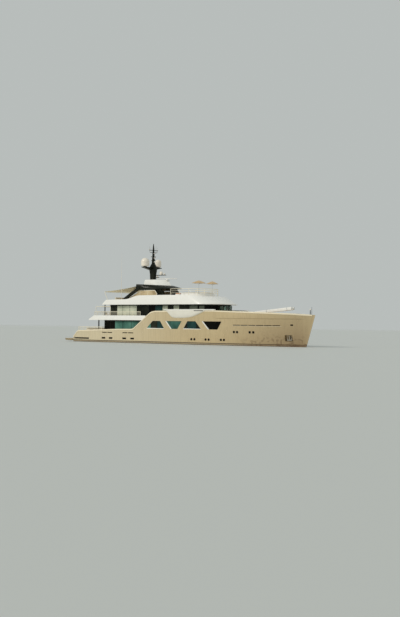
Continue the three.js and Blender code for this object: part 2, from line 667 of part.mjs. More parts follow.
sunDeck = sunDeck.subtract(planPrism(mirrored(sunWell), [level.sunDeck, 10]));
for (const side of Object.values(SIDES)) {
  const y = side * sunPillar.y;
  const foot = level.upperDeck + GAP;
  sunDeck = sunDeck.add(rod([sunPillar.x, y, foot], [sunPillar.x, y, 7.4], sunPillar.radius, 10));
}
add("sun_deck", sunDeck, "white");

// Hardtop: a dark crowned roof that narrows to a thin peak, on two raked legs aft and two inboard legs forward
const roofLower = [
  [-9.15, 3.8], [-7.4, 3.6], [-5.7, 3.1], [-4.2, 2.5], [-2.8, 1.8], [-1.6, 1.0], [-0.9, 0],
];
const roofUpper = [
  [-9.15, 3.75], [-7.8, 3.5], [-7.0, 3.0], [-6.3, 2.45], [-5.6, 1.8], [-4.9, 1.0], [-4.2, 0],
];
const roofZs = { foot: 10, edge: 10.45, crown: 11.25 };
const roofAbove = [[-12, 11.34], [-9.16, 11.22], [-3.9, 11.0], [0, 10.84], [0, 13], [-12, 13]];
const roofBelow = [[-12, 9], [-12, 10.12], [-5.4, 10.12], [-3.4, 10.33], [0, 10.36], [0, 9]];
const legFoot = level.sunDeck + GAP;
const aftLeg = {
  ys: [3.4, 3.76],
  side: [
    [-9.15, 10.8], [-9.15, 10.4], [-12.3, 8.62], [-13.0, legFoot], [-11.8, legFoot], [-11.45, 8.5], [-8.6, 10.05],
    [-8.2, 10.3], [-8.2, 10.8],
  ],
};
const foreLeg = {
  ys: [2.05, 2.41],
  side: [
    [-5.85, 10.4], [-5.75, 10.15], [-4.75, 9.3], [-4.6, legFoot], [-3.1, legFoot], [-3.15, 9.25], [-3.55, 9.9],
    [-4.15, 10.4],
  ],
};
function makeHardtop() {
  let body = planPrism(mirrored(roofLower), [roofZs.foot, roofZs.edge]);
  body = body.add(tier(roofLower, roofUpper, [roofZs.edge, roofZs.crown]));
  body = body.subtract(sidePrism(roofAbove, [-6, 6])).subtract(sidePrism(roofBelow, [-6, 6]));
  for (const { ys, side } of [aftLeg, foreLeg]) {
    body = body.add(sidePrism(side, ys)).add(sidePrism(side, [-ys[1], -ys[0]]));
  }
  return body;
}
add("hardtop", makeHardtop(), "dark");

// White fairing on the hardtop, which carries the mast and the radar
const fairingLower = [[-8.8, 2.3], [-5.4, 2.2], [-4.0, 1.0], [-3.3, 0]];
const fairingUpper = [[-8.7, 2.0], [-6.3, 1.7], [-5.1, 0.9], [-4.4, 0]];
const fairingTop = 12.15;
const radar = { postX: -4.5, z: 12.3, length: 3.8, park: THREE.MathUtils.degToRad(40) };
function roofZ(x) {
  return 11.22 - ((x + 9.16) / 5.26) * 0.22;
}
function makeFairing() {
  let body = tier(fairingLower, fairingUpper, [10.9, fairingTop]);
  const under = [[-12, 9], [-12, roofZ(-12) + GAP], [-3, roofZ(-3) + GAP], [-3, 9]];
  body = body.subtract(sidePrism(under, [-6, 6]));
  body = body.add(rod([radar.postX, 0, 11.2], [radar.postX, 0, radar.z - 0.12], 0.3, 10, 0.18));
  return body;
}
add("radar_fairing", makeFairing(), "white");

const scannerGroup = new THREE.Group();
scannerGroup.position.set(radar.postX, 0, radar.z - 0.12 + GAP);
scannerGroup.rotation.z = radar.park;
const scannerBar = box([-radar.length / 2, radar.length / 2], [-0.09, 0.09], [0.1, 0.26]);
const scannerHub = rod([0, 0, 0], [0, 0, 0.15], 0.12, 10);
add("radar_scanner", scannerBar.add(scannerHub), "white", scannerGroup);
yacht.add(scannerGroup);

// Mast: dark pylon, spar, dome arm, crosstrees and a forward shelf
const mastX = -8.15;
const domes = [
  { name: "starboard", x: -8.45, y: -1.96, radius: 0.78, tall: 1.6 },
  { name: "port", x: -8.65, y: 1.96, radius: 0.6, tall: 1.5 },
];
const armTop = 14.62;
function makeMast() {
  const ring = (halfX, halfY, z, x = mastX) => [
    [x - halfX, -halfY, z], [x + halfX, -halfY, z], [x + halfX, halfY, z], [x - halfX, halfY, z],
  ];
  const pylon = loft([
    ring(0.55, 0.42, fairingTop + GAP), ring(0.6, 0.45, 13.3), ring(0.72, 0.5, 14.0), ring(0.72, 0.5, 14.6),
    ring(0.3, 0.3, 15.3),
  ]);
  const spar = loft([ring(0.3, 0.28, 15), ring(0.14, 0.14, 18.2), ring(0.05, 0.05, 19.15)]);
  const armEnd = (y, low) => [[-8.95, y, low], [-8.95, y, armTop], [-8.15, y, armTop], [-8.15, y, low]];
  const arm = loft([armEnd(-2.5, 14.5), armEnd(-0.3, 14.05), armEnd(0.3, 14.05), armEnd(2.5, 14.5)]);
  const trees = [
    box([mastX - 0.06, mastX + 0.06], [-1.15, 1.15], [17.83, 17.93]),
    box([mastX - 0.05, mastX + 0.05], [-0.8, 0.8], [17.38, 17.46]),
  ];
  const shelf = box([-7.7, -4.9], [-0.22, 0.22], [12.98, 13.1]);
  const lowShelf = box([-7.7, -6.7], [-0.2, 0.2], [12.55, 12.65]);
  return fuse(pylon, spar, arm, ...trees, shelf, lowShelf);
}

function dome(radius, tall, sides = 16) {
  const shoulder = tall - radius;
  const arc = [0, 25, 50, 70, 90].map((d) => {
    const turn = THREE.MathUtils.degToRad(d);
    return [radius * Math.cos(turn), shoulder + radius * Math.sin(turn)];
  });
  return turned([[0, 0], [radius * 0.82, 0], [radius * 0.97, 0.12], ...arc.slice(0, -1), [0, tall]], sides);
}
const navigationDome = dome(0.33, 0.68, 12).translate([-6.05, 0, 13.08]);
add("mast", makeMast().add(navigationDome), "dark");
for (const { name, x, y, radius, tall } of domes) {
  const mesh = add(`radome_${name}`, dome(radius, tall).add(rod([0, 0, -0.12], [0, 0, 0.05], 0.28, 10)), "white");
  mesh.position.set(x, y, armTop + 0.12 + GAP);
}

// Foredeck crane: a slewing pedestal and a boom that lifts, stowed pointing forward
const crane = { x: 17.0, z: 5.9, rise: THREE.MathUtils.degToRad(5.2), length: 8.05, half: 0.3, pin: 0.06 };
const cheek = (y) => sidePrism([[-0.3, 5.3], [0.3, 5.3], [0.22, 6.1], [-0.22, 6.1]], [y - 0.05, y + 0.05]);
const cranePin = rod([0, -0.36, crane.z], [0, 0.36, crane.z], crane.pin, 10);
const craneGroup = new THREE.Group();
craneGroup.position.x = crane.x;
const turret = rod([0, 0, 5.45 + GAP], [0, 0, 5.56], 0.4, 16);
const cheeks = [cheek(-0.34), cheek(0.34)].map((c) => c.subtract(box([-1, 1], [-1, 1], [4, 5.46])));
add("crane_turret", fuse(turret, ...cheeks, cranePin), "white", craneGroup);
const boomGroup = new THREE.Group();
boomGroup.position.z = crane.z;
boomGroup.rotation.y = -crane.rise;
const boomRing = (x, half) => [
  [x, -half * 0.6, -half], [x, half * 0.6, -half], [x, half, -half * 0.6], [x, half, half * 0.6],
  [x, half * 0.6, half], [x, -half * 0.6, half], [x, -half, half * 0.6], [x, -half, -half * 0.6],
];
let boom = loft([boomRing(-0.25, 0.2), boomRing(0.3, 0.24), boomRing(crane.length, crane.half)]);
boom = boom.subtract(bore([0, -1, 0], [0, 1, 0], crane.pin));
add("crane_boom", boom, "white", boomGroup);
craneGroup.add(boomGroup);
yacht.add(craneGroup);

// Windlass, and foredeck locker with the crane's pedestal
const windlassBase = box([23.8, 24.6], [-0.95, 0.95], [level.upperDeck + GAP, 4.95]);
const gypsies = Object.values(SIDES).map((side) =>
  rod([24.2, side * 0.35, 5.15], [24.2, side * 1.05, 5.15], 0.24, 12),
);
add("windlass", fuse(windlassBase, ...gypsies), "steel");
const lockerZ = [level.upperDeck + GAP, 5.45];
const locker = tier([[11.5, 1.5], [14.6, 1.2], [14.9, 0.7]], [[11.6, 1.35], [14.4, 1.05], [14.65, 0.6]], lockerZ);
const plinth = box([14.5, 17.2], [-0.45, 0.45], [lockerZ[0], 5.0]);
const pedestal = rod([crane.x, 0, lockerZ[0]], [crane.x, 0, lockerZ[1]], 0.42, 16, 0.38);
add("foredeck_locker", fuse(locker, plinth, pedestal), "white");

// Raised forward sun deck: spa pool with its pads, parasols and guard rail
function topZ(x) {
  return x < 0 ? 9.05 : 9.05 - (x / 8.2) * 0.19;
}
const padSpot = { xs: [1.0, 6.2], half: 2.6 };
function makePads() {
  const lower = [[padSpot.xs[0], padSpot.half], [5.2, 2.3], [padSpot.xs[1], 1.4]];
  const upper = [[1.15, 2.45], [5.1, 2.15], [6.0, 1.3]];
  let body = tier(lower, upper, [8.8, 9.42]);
  const pool = turned([[0, 9.15], [1.0, 9.15], [1.0, 10], [0, 10]], 20).translate([3.0, 0, 0]);
  body = body.subtract(pool);
  const under = [[-1, 8], [-1, topZ(-1) + GAP], [0, topZ(0) + GAP], [8, topZ(8) + GAP], [8, 8]];
  return body.subtract(sidePrism(under, [-4, 4]));
}
add("spa_pool", makePads(), "white");

const parasols = [
  { name: "starboard", x: 5.1, y: -1.93, radius: 1.3 },
  { name: "port", x: 5.1, y: 1.93, radius: 1.15 },
];
for (const { name, x, y, radius } of parasols) {
  const foot = 9.42 + GAP;
  const canopy = turned([[0, 11.42], [radius, 11.22], [radius, 11.26], [0, 11.72]], 12);
  const pole = rod([0, 0, foot], [0, 0, 11.8], 0.035, 8);
  const mesh = add(`parasol_${name}`, canopy.add(pole), "canvas");
  mesh.position.set(x, y, 0);
}

// Guard rails: posts along a path of [x, y, foot], with a top bar and lower bars between them
const rail = { post: 0.034, bar: 0.026 };
function railAlong(path, foot, top, middles) {
  const pieces = path.map(([x, y, z]) =>
    box([x - rail.post, x + rail.post], [y - rail.post, y + rail.post], [z ?? foot, top + rail.post]),
  );
  for (let i = 0; i + 1 < path.length; i++) {
    const [a, b] = [path[i], path[i + 1]];
    for (const z of [top, ...middles]) {
      pieces.push(rod([a[0], a[1], z], [b[0], b[1], z], rail.bar, 5));
    }
  }
  return fuse(...pieces);
}
const sunRailPath = [
  [-0.4, -3.55], [1.8, -3.55], [4.0, -3.5], [5.6, -2.9], [6.5, -1.9], [6.9, -0.6], [6.9, 0.6], [6.5, 1.9],
  [5.6, 2.9], [4.0, 3.5], [1.8, 3.55], [-0.4, 3.55],
].map(([x, y]) => [x, y, topZ(x - 0.035) + GAP]);
add("sun_rail", railAlong(sunRailPath, 9.05, 10.2, [9.65]), "steel");

// Upper deck bulwark with its rail, round the aft end, and the raised bar of the awning frame
const upperSide = [-18.9, -16.9, -14.9, -12.9, -10.9, -8.9, -6.9];
const upperRailPath = [
  ...upperSide.map((x) => [x, -4.755]).reverse(), [-19.75, -4.35], [-20.15, -3.1], [-20.25, -1], [-20.25, 1],
  [-20.15, 3.1], [-19.75, 4.35], ...upperSide.map((x) => [x, 4.755]),
];
let upperRail = upperBulwark.add(railAlong(upperRailPath, bulwarkTop - 0.06, 5.95, [5.6]));
const framePosts = [[-18.9, -4.755], [-14.9, -4.755], [-14.9, 4.755], [-18.9, 4.755]];
upperRail = upperRail.add(railAlong(framePosts.slice(0, 2), 5.9, 6.95, []));
upperRail = upperRail.add(railAlong(framePosts.slice(2), 5.9, 6.95, []));
upperRail = upperRail.add(rod([-18.9, -4.755, 6.95], [-18.9, 4.755, 6.95], rail.bar, 5));
add("upper_bulwark", upperRail, "white");

// Main deck rail on the stern bulwark
function sheerZ(x) {
  for (let i = 0; i + 1 < sheer.length; i++) {
    const [a, b] = [sheer[i], sheer[i + 1]];
    if (x >= a[0] && x <= b[0]) return mix(a[1], b[1], (x - a[0]) / (b[0] - a[0]));
  }
  return sheer[0][1];
}
const aftRailHalf = [-17, -19.2, -21.4, -23.4].map((x) => [x, halfBreadth(x, 2.2) - 0.1, sheerZ(x + 0.035) + GAP]);
const acrossStern = [4.6, 3.1, 1.55, 0].map((y) => [-23.98, y, sheerZ(-23.94) + GAP]);
const portRail = [...aftRailHalf, ...acrossStern];
const starboardRail = portRail.slice(0, -1).map(([x, y, z]) => [x, -y, z]);
add("aft_rail", railAlong([...portRail, ...starboardRail.reverse()], 2.3, 2.98, []), "steel");

// Canvas awning over the aft sun deck, on two poles that stand on the bulwark
const awning = { aftX: -17.2, aftY: 4.1, aftZ: 9.86, foreX: -9.15 - GAP, foreY: 3.42, foreZ: 10.85 };
const poleFoot = { x: -16.45, y: 4.0, z: 8.0 };
function makeAwningFrame() {
  const barZ = awning.aftZ - 0.045 + 0.0026;
  const bar = rod([awning.aftX, -awning.aftY, barZ], [awning.aftX, awning.aftY, barZ], 0.045, 16);
  const poles = Object.values(SIDES).map((side) =>
    rod([poleFoot.x, side * poleFoot.y, poleFoot.z], [awning.aftX, side * awning.aftY, barZ], 0.03, 8),
  );
  return fuse(bar, ...poles).subtract(sunDeck).translate([0, 0, GAP]);
}
add("sun_awning_frame", makeAwningFrame(), "steel");
function makeAwning() {
  const rings = [];
  const thick = 0.03;
  for (let i = 0; i <= 6; i++) {
    const share = i / 6;
    const x = mix(awning.aftX - 0.05, awning.foreX, share);
    const y = mix(awning.aftY, awning.foreY, share) - 0.22 * Math.sin(Math.PI * share);
    const z = mix(awning.aftZ, awning.foreZ, share) - 0.12 * Math.sin(Math.PI * share);
    rings.push([[x, -y, z], [x, y, z], [x, y, z + thick], [x, -y, z + thick]]);
  }
  return loft(rings);
}
add("sun_awning", makeAwning(), "canvas");

export default yacht;
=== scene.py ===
import math

import bmesh
import bpy
from mathutils import Matrix, Vector


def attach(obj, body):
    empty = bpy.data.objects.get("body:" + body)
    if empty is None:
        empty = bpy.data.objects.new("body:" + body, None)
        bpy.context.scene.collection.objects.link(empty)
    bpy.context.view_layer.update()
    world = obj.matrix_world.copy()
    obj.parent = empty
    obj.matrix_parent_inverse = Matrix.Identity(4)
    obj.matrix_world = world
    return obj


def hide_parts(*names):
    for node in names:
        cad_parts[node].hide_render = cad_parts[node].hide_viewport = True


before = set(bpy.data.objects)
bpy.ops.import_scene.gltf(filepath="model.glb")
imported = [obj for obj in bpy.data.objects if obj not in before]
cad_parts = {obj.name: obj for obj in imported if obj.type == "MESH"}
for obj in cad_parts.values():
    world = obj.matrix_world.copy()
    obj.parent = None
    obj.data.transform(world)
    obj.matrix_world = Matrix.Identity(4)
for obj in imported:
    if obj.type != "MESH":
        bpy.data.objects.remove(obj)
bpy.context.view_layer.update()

# Hull
# The real hull is a welded, faired shell sprayed in a champagne metallic, with a dark boot stripe over
# a pale one and brown antifouling. Bulwark and topsides are one skin, so one shell stands for its blocks.
HALF = 0.5  # the model is half the ship; all sizes and places below are the ship's own, in metres
SIDES = {"starboard": -1, "port": 1}
flat_keel, stem_foot, stem_head = -3.3, 27.6, 5.47


def lerp(a, b, share):
    return a + (b - a) * share


def between(value, low=0.0, high=1.0):
    return max(low, min(high, value))


def turns(count):
    return [2 * math.pi * k / count for k in range(count)]


def keel_z(x):
    if x > stem_foot:
        return (x - stem_foot) / 1.7 * stem_head
    if x > 19:
        return flat_keel * (1 - ((x - 19) / 8.6) ** 2.6)
    if x > -6:
        return flat_keel
    return flat_keel + 2.7 * ((-6 - x) / 19.4) ** 1.4


def half_breadth(x, z):
    high = max(0, z) / stem_head
    part = min(1, high)
    shoulder = lerp(0, 6, part)
    stem = lerp(stem_foot, 29.3, high)
    y = lerp(5.05, 5.15, part)
    if x > shoulder:
        y *= 1 - min(1, (x - shoulder) / (stem - shoulder)) ** lerp(1.9, 2.3, part)
    if x < -12:
        y -= lerp(0.45, 0.25, part) * ((-12 - x) / 13.4) ** 2
    if z < 0:
        keel = min(keel_z(x), -0.01)
        up = between((z - keel) / -keel)
        fullness = lerp(3.0, 1.35, between(x / 27))
        y *= (1 - (1 - up) ** fullness) ** (1 / fullness)
    return max(y, 0.05)


def skin_y(x, z):
    """How far out the skin is, with the bulwark forward standing proud of the topsides"""
    proud = 0.1 * between(min((x - 11) / 1.5, (28 - x) / 1.2)) * between((z - 4.72) / 0.06)
    return half_breadth(x, z) + proud


def rounded(corners, radius, closed=False, steps=5):
    count = len(corners)
    line = [] if closed else [tuple(corners[0])]
    for i in range(0 if closed else 1, count if closed else count - 1):
        here = Vector(corners[i])
        back = Vector(corners[i - 1]) - here
        ahead = Vector(corners[(i + 1) % count]) - here
        reach = min(radius, back.length * 0.48, ahead.length * 0.48)
        start = here + back.normalized() * reach
        end = here + ahead.normalized() * reach
        for k in range(steps + 1):
            t = k / steps
            line.append(tuple(start * (1 - t) ** 2 + here * 2 * t * (1 - t) + end * t * t))
    return line if closed else line + [tuple(corners[-1])]


def divided(line, step, closed=True):
    out = []
    pairs = zip(line, line[1:] + line[:1]) if closed else zip(line, line[1:])
    for a, b in pairs:
        count = max(1, round(math.dist(a, b) / step))
        out += [tuple(lerp(p, q, k / count) for p, q in zip(a, b)) for k in range(count)]
    return out if closed else out + [tuple(line[-1])]


def loft(rings, ends=True):
    count = len(rings[0])
    points = [p for ring in rings for p in ring]
    faces = []
    for i in range(len(rings) - 1):
        for k in range(count):
            a = i * count + k
            b = i * count + (k + 1) % count
            faces.append((a, b, b + count, a + count))
    if ends:
        faces.append(tuple(reversed(range(count))))
        faces.append(tuple(range(len(points) - count, len(points))))
    return points, faces


def corners_of(across, up):
    return [(across[0], up[0]), (across[1], up[0]), (across[1], up[1]), (across[0], up[1])]


def side_prism(outline, y0, y1):
    return loft([[(x, y, z) for x, z in outline] for y in (y0, y1)])


def plan_prism(outline, z0, z1):
    return loft([[(x, y, z) for x, y in outline] for z in (z0, z1)])


def block(xs, ys, zs):
    return plan_prism(corners_of(xs, ys), *zs)


def side_block(side, xs, ys, zs):
    return block(xs, sorted(side * y for y in ys), zs)


def column(outline, x):
    """The lowest and the highest place of an outline at x"""
    heights = []
    for (x0, z0), (x1, z1) in zip(outline, outline[1:] + outline[:1]):
        if min(x0, x1) <= x <= max(x0, x1) and x0 != x1:
            heights.append(lerp(z0, z1, (x - x0) / (x1 - x0)))
    return min(heights), max(heights)


def hull_plate(outline, side, out0, out1, step=0.5, rows=4):
    """A plate with a convex outline that follows the skin, between two distances out from it"""
    corners = sorted({round(x, 4) for x, z in outline})
    places = [corners[0] + 0.0005]
    for x in corners:
        if x > places[-1] + 0.004:
            places.append(x)
    places[-1] = corners[-1] - 0.0005
    rings = []
    for (x,) in divided([(x,) for x in places], step, closed=False):
        low, high = column(outline, x)
        heights = [lerp(low, high, k / rows) for k in range(rows + 1)]
        near = [(x, side * (skin_y(x, z) + out0), z) for z in heights]
        rings.append(near + [(x, side * (skin_y(x, z) + out1), z) for z in reversed(heights)])
    return loft(rings)


def joined(name, parts):
    """One object of several parts, at the model's size and with every face turned out"""
    points, faces = [], []
    for more_points, more_faces in parts:
        start = len(points)
        points += more_points
        faces += [tuple(start + i for i in face) for face in more_faces]
    data = bpy.data.meshes.new(name)
    data.from_pydata([Vector(p) * HALF for p in points], [], faces)
    made = bpy.data.objects.new(name, data)
    bpy.context.scene.collection.objects.link(made)
    mesh = bmesh.new()
    mesh.from_mesh(data)
    bmesh.ops.recalc_face_normals(mesh, faces=mesh.faces)
    mesh.to_mesh(data)
    mesh.free()
    return made


def settle(obj):
    graph = bpy.context.evaluated_depsgraph_get()
    made = bpy.data.meshes.new_from_object(obj.evaluated_get(graph))
    obj.modifiers.clear()
    obj.data = made
    return obj


def cut(obj, tool, operation="DIFFERENCE"):
    change = obj.modifiers.new("cut", "BOOLEAN")
    change.object = tool
    change.operation = operation
    change.solver = "MANIFOLD"
    settle(obj)
    obj.data.materials.clear()
    bpy.data.objects.remove(tool)
    return obj


def soften(obj, width, segments=2, angle=38):
    edges = obj.modifiers.new("edges", "BEVEL")
    edges.width = width * HALF
    edges.segments = segments
    edges.limit_method = "ANGLE"
    edges.angle_limit = math.radians(angle)
    edges.miter_outer = "MITER_ARC"
    return settle(obj)


def smooth(obj, angle=35):
    obj.data.shade_smooth()
    obj.data.set_sharp_from_angle(angle=math.radians(angle))
    even = obj.modifiers.new("normals", "WEIGHTED_NORMAL")
    even.keep_sharp = True
    return settle(obj)


def fit(obj, material, *stands_for, body="ship", slot=None):
    """Put a piece on its body and in place of the plain solids that it stands for; its slot is not used"""
    if not obj.data.materials:
        obj.data.materials.append(material)
    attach(obj, body)
    if stands_for:
        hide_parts(*stands_for)
    return obj


def add(name, parts, material, angle=35, *stands_for, soft=0.0, segments=2, body="ship", slot=None):
    """A whole piece: joined, softened at its edges, shaded and fitted"""
    made = joined(name, parts)
    if soft:
        soften(made, soft, segments)
    return fit(smooth(made, angle), material, *stands_for, body=body, slot=slot)


def repaint(material, *names):
    for name in names:
        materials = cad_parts[name].data.materials
        materials.clear()
        materials.append(material)


def node(tree, kind, values=(), **settings):
    made = tree.nodes.new("ShaderNode" + kind)
    for key, value in settings.items():
        setattr(made, key, value)
    for socket, value in dict(values).items():
        if isinstance(value, bpy.types.NodeSocket):
            tree.links.new(value, made.inputs[socket])
        else:
            made.inputs[socket].default_value = value
    return made


def link(tree, sockets, sources):
    for socket, source in sources.items():
        tree.links.new(source, sockets[socket])


def object_spot(tree):
    return node(tree, "TexCoord").outputs["Object"]


def maths(tree, operation, *values):
    return node(tree, "Math", enumerate(values), operation=operation).outputs[0]


def product(tree, first, *others):
    for other in others:
        first = maths(tree, "MULTIPLY", first, other)
    return first


def ramp(tree, value, start, end, top=1.0, low=0.0):
    """How far a value has come from start to end, between low and top"""
    places = {"Value": value, "From Min": start, "From Max": end, "To Min": low, "To Max": top}
    return node(tree, "MapRange", places).outputs[0]


def blend(tree, share, one, other):
    return node(tree, "Mix", {0: share, 6: one, 7: other}, data_type="RGBA").outputs[2]


def noise(tree, spot, scale, detail, roughness=0.5, distortion=0.0):
    grain = {"Scale": scale, "Detail": detail, "Roughness": roughness, "Distortion": distortion}
    if spot is not None:
        grain["Vector"] = spot
    return node(tree, "TexNoise", grain).outputs[0]


def relief(tree, height, strength, distance):
    return node(tree, "Bump", {"Height": height, "Strength": strength, "Distance": distance}).outputs[0]


def paint(name, plain):
    made = bpy.data.materials.new(name)
    made.use_nodes = True
    shader = made.node_tree.nodes["Principled BSDF"]
    for socket, value in plain.items():
        shader.inputs[socket].default_value = value
    return made, made.node_tree, shader.inputs


def new_group(name, inputs, outputs):
    """A shader group, the sockets that it is given and those that it gives out"""
    tree = bpy.data.node_groups.new(name, "ShaderNodeTree")
    for socket, value in inputs.items():
        kind = "NodeSocketFloat" if isinstance(value, float) else "NodeSocketColor"
        tree.interface.new_socket(socket, in_out="INPUT", socket_type=kind).default_value = value
    for socket in outputs:
        kind = "NodeSocketColor" if socket == "Color" else "NodeSocketFloat"
        tree.interface.new_socket(socket, in_out="OUTPUT", socket_type=kind)
    return tree, tree.nodes.new("NodeGroupInput").outputs, tree.nodes.new("NodeGroupOutput").inputs


def rgb(red, green, blue):
    """A colour read from the photograph in 0 to 255, as the shader needs it"""
    linear = [c / 3294.6 if c <= 10 else ((c / 255 + 0.055) / 1.055) ** 2.4 for c in (red, green, blue)]
    return (*linear, 1.0)


# Rain and spray leave runs down every painted side: noise drawn out in height, stronger in broad patches
weather, given, result = new_group(
    "weathered_paint",
    {
        "Paint": (0.5, 0.5, 0.5, 1), "Stain": (0.2, 0.15, 0.1, 1), "Amount": 0.2, "Run Width": 0.3,
        "Run Length": 2.0, "Gloss": 0.25,
    },
    ["Color", "Roughness", "Height"],
)
spot = object_spot(weather)
thin = maths(weather, "DIVIDE", 1.0, given["Run Width"])
tall = maths(weather, "DIVIDE", 1.0, given["Run Length"])
stretch = node(weather, "CombineXYZ", {"X": thin, "Y": thin, "Z": tall}).outputs[0]
drawn = node(weather, "VectorMath", {0: spot, 1: stretch}, operation="MULTIPLY").outputs[0]
runs = ramp(weather, noise(weather, drawn, 1.0, 5.0, roughness=0.62), 0.45, 0.8)
share = product(weather, runs, noise(weather, spot, 0.45, 3.0), given["Amount"])
link(weather, result, {
    "Color": blend(weather, share, given["Paint"], given["Stain"]),
    "Roughness": maths(weather, "MULTIPLY_ADD", share, 0.5, given["Gloss"]),
    "Height": noise(weather, spot, 60.0, 1.0),
})


def use_weather(tree, shader, colour, stain, amount, width=0.25, length=2.5, gloss=0.22, bump=0.02):
    look = {"Paint": colour, "Stain": rgb(*stain), "Amount": amount, "Gloss": gloss}
    look.update({"Run Width": width, "Run Length": length})
    out = node(tree, "Group", look, node_tree=weather).outputs
    normal = relief(tree, out["Height"], bump, 0.01)
    link(tree, shader, {"Base Color": out["Color"], "Roughness": out["Roughness"], "Normal": normal})


def weathered(name, slot, plain, colour, *look, **more):
    """A paint of one colour; look is the stain, its amount, and the width, length and gloss of the runs"""
    made, tree, shader = paint(name, plain)
    use_weather(tree, shader, rgb(*colour), *look, **more)
    return made


hull_paint, tree, shader = paint(
    "champagne_topside_paint", {"Metallic": 0.25, "Coat Weight": 0.6, "Coat Roughness": 0.06}
)
spot = object_spot(tree)
axes = node(tree, "SeparateXYZ", {0: spot}).outputs
stripes = node(tree, "ValToRGB", {0: ramp(tree, axes["Z"], -0.1, 0.4)})
stops = stripes.color_ramp.elements
stripes.color_ramp.interpolation = "CONSTANT"
# height above water in the model's metres, and the colour from there up
stripe_table = [(-0.1, (58, 44, 34)), (0.045, (176, 160, 130)), (0.14, (70, 56, 40)), (0.2, (212, 190, 148))]
for n, (height, colour) in enumerate(stripe_table):
    place_on_ramp = between((height + 0.1) / 0.5)
    stop = stops.new(place_on_ramp) if n else stops[0]
    stop.position = place_on_ramp
    stop.color = rgb(*colour)
stops.remove(stops[-1])
# painted reflection of the water: the flare of the bow faces the water, and is painted darker and warmer
# towards its foot
forward = ramp(tree, axes["X"], 6.0, 13.0)
low = ramp(tree, axes["Z"], 3.5, 0.2)
near_stem = ramp(tree, axes["X"], 14.6, 13.2, low=0.5)
water_reflection_share = product(tree, forward, low, near_stem, 0.62)
with_water_reflection = blend(tree, water_reflection_share, stripes.outputs[0], rgb(108, 76, 42))
# painted reflection of the surroundings: brown blotches low on the bow, stronger towards the water
painted_reflection_blots = ramp(tree, noise(tree, spot, 2.4, 6.0, distortion=0.9), 0.5, 0.62, 0.6)
painted_reflection_blot_share = product(tree, painted_reflection_blots, ramp(tree, axes["Z"], 1.15, 0.3), ramp(tree, axes["X"], 7.5, 10.0))
with_reflection_blots = blend(tree, painted_reflection_blot_share, with_water_reflection, rgb(92, 66, 40))
# painted reflection of the sky: the quarter is painted paler and greyer towards the stern
above_stripes = maths(tree, "GREATER_THAN", axes["Z"], 0.2)
sky_reflection_share = product(tree, ramp(tree, axes["X"], 3.0, -9.0, 0.75), above_stripes)
with_sky_reflection = blend(tree, sky_reflection_share, with_reflection_blots, rgb(236, 222, 190))
use_weather(tree, shader, with_sky_reflection, (120, 96, 62), 0.5, 0.12, 3.5, 0.2)

white_paint = weathered(
    "white_gloss_paint", "white_paint", {"Coat Weight": 0.5, "Coat Roughness": 0.05},
    (250, 248, 243), (206, 198, 180), 0.35, 0.2, 1.2, 0.25,
)

# rows of places on the skin: shares of the way up from the keel to the water, then heights above the water
below = [0.004, 0.02, 0.05, 0.1, 0.17, 0.26, 0.36, 0.48, 0.6, 0.72, 0.86, 1.0]
above = [0.2, 0.45, 0.75, 1.1, 1.5, 1.9, 2.3, 2.7, 3.1, 3.5, 3.9, 4.3, 4.6, 4.72, 4.8, 5.05]
above += [5.4, 5.8, 6.2, 6.6]


def hull_ring(x):
    keel = keel_z(x)
    heights = [keel * (1 - share) for share in below] if keel < 0 else [0] * len(below)
    half = []
    for n, z in enumerate(heights + above):
        real = max(z, keel + 0.004 * (n + 1))
        half.append((x, skin_y(x, real), real))
    return [(x, 0, keel)] + half + [(px, -y, z) for px, y, z in reversed(half)]


stations = [-25.4 + 0.5 * n for n in range(91)] + [20.25 + 0.22 * n for n in range(43)]
shell = joined("hull_shell", [loft([hull_ring(x) for x in stations])])

# under water: a bulb at the forefoot, a keel bar, a skeg, and for each screw a bossing, a shaft and a bracket


def tube(path, radius, sides=8, end_radius=None):
    """A round bar along a path of places"""
    places = [Vector(p) for p in path]
    last = len(places) - 1
    tip = radius if end_radius is None else end_radius
    normal = (places[1] - places[0]).orthogonal().normalized()
    rings = []
    for i, place in enumerate(places):
        run = (places[min(i + 1, last)] - places[max(i - 1, 0)]).normalized()
        normal = (normal - run * normal.dot(run)).normalized()
        across = run.cross(normal)
        reach = lerp(radius, tip, i / last)
        ring = [place + (normal * math.cos(t) + across * math.sin(t)) * reach for t in turns(sides)]
        rings.append([tuple(p) for p in ring])
    return loft(rings)


def keel_at(x, y):
    """The height at which the skin is as far out as y"""
    low, high = keel_z(x), 0.0
    for _ in range(24):
        z = (low + high) / 2
        if half_breadth(x, z) < abs(y):
            low = z
        else:
            high = z
    return high


bulb_rings = []
for n in range(1, 32):
    turn = math.pi * n / 32
    size = math.sin(turn)
    x = 25.9 - 2.7 * math.cos(turn)
    bulb_rings.append([(x, 0.75 * size * math.cos(t), -2.2 + 0.85 * size * math.sin(t)) for t in turns(40)])
shaft_y, shaft_z, prop_x, rudder_x = 2.3, -2.45, -21.2, -22.9
rudder_seat_z = keel_at(rudder_x + 0.5, shaft_y - 0.3) - 0.05
skeg_corners = [(-8.5, -3.3), (-9, -2.4), (-19.5, -1.2), (-19.8, -1.75), (-18.5, -3.15), (-17.8, -3.28)]
skeg_outline = rounded(skeg_corners, 0.3, closed=True)
fin_x, fin_z, fin_lean = -1.2, -2.35, math.radians(45)
fin_y = half_breadth(fin_x, fin_z) + 0.02
underwater = [loft(bulb_rings), block((-9, 18), (-0.2, 0.2), (-3.38, -3.1))]
underwater.append(side_prism(skeg_outline, -0.16, 0.16))
bright_shafts = []
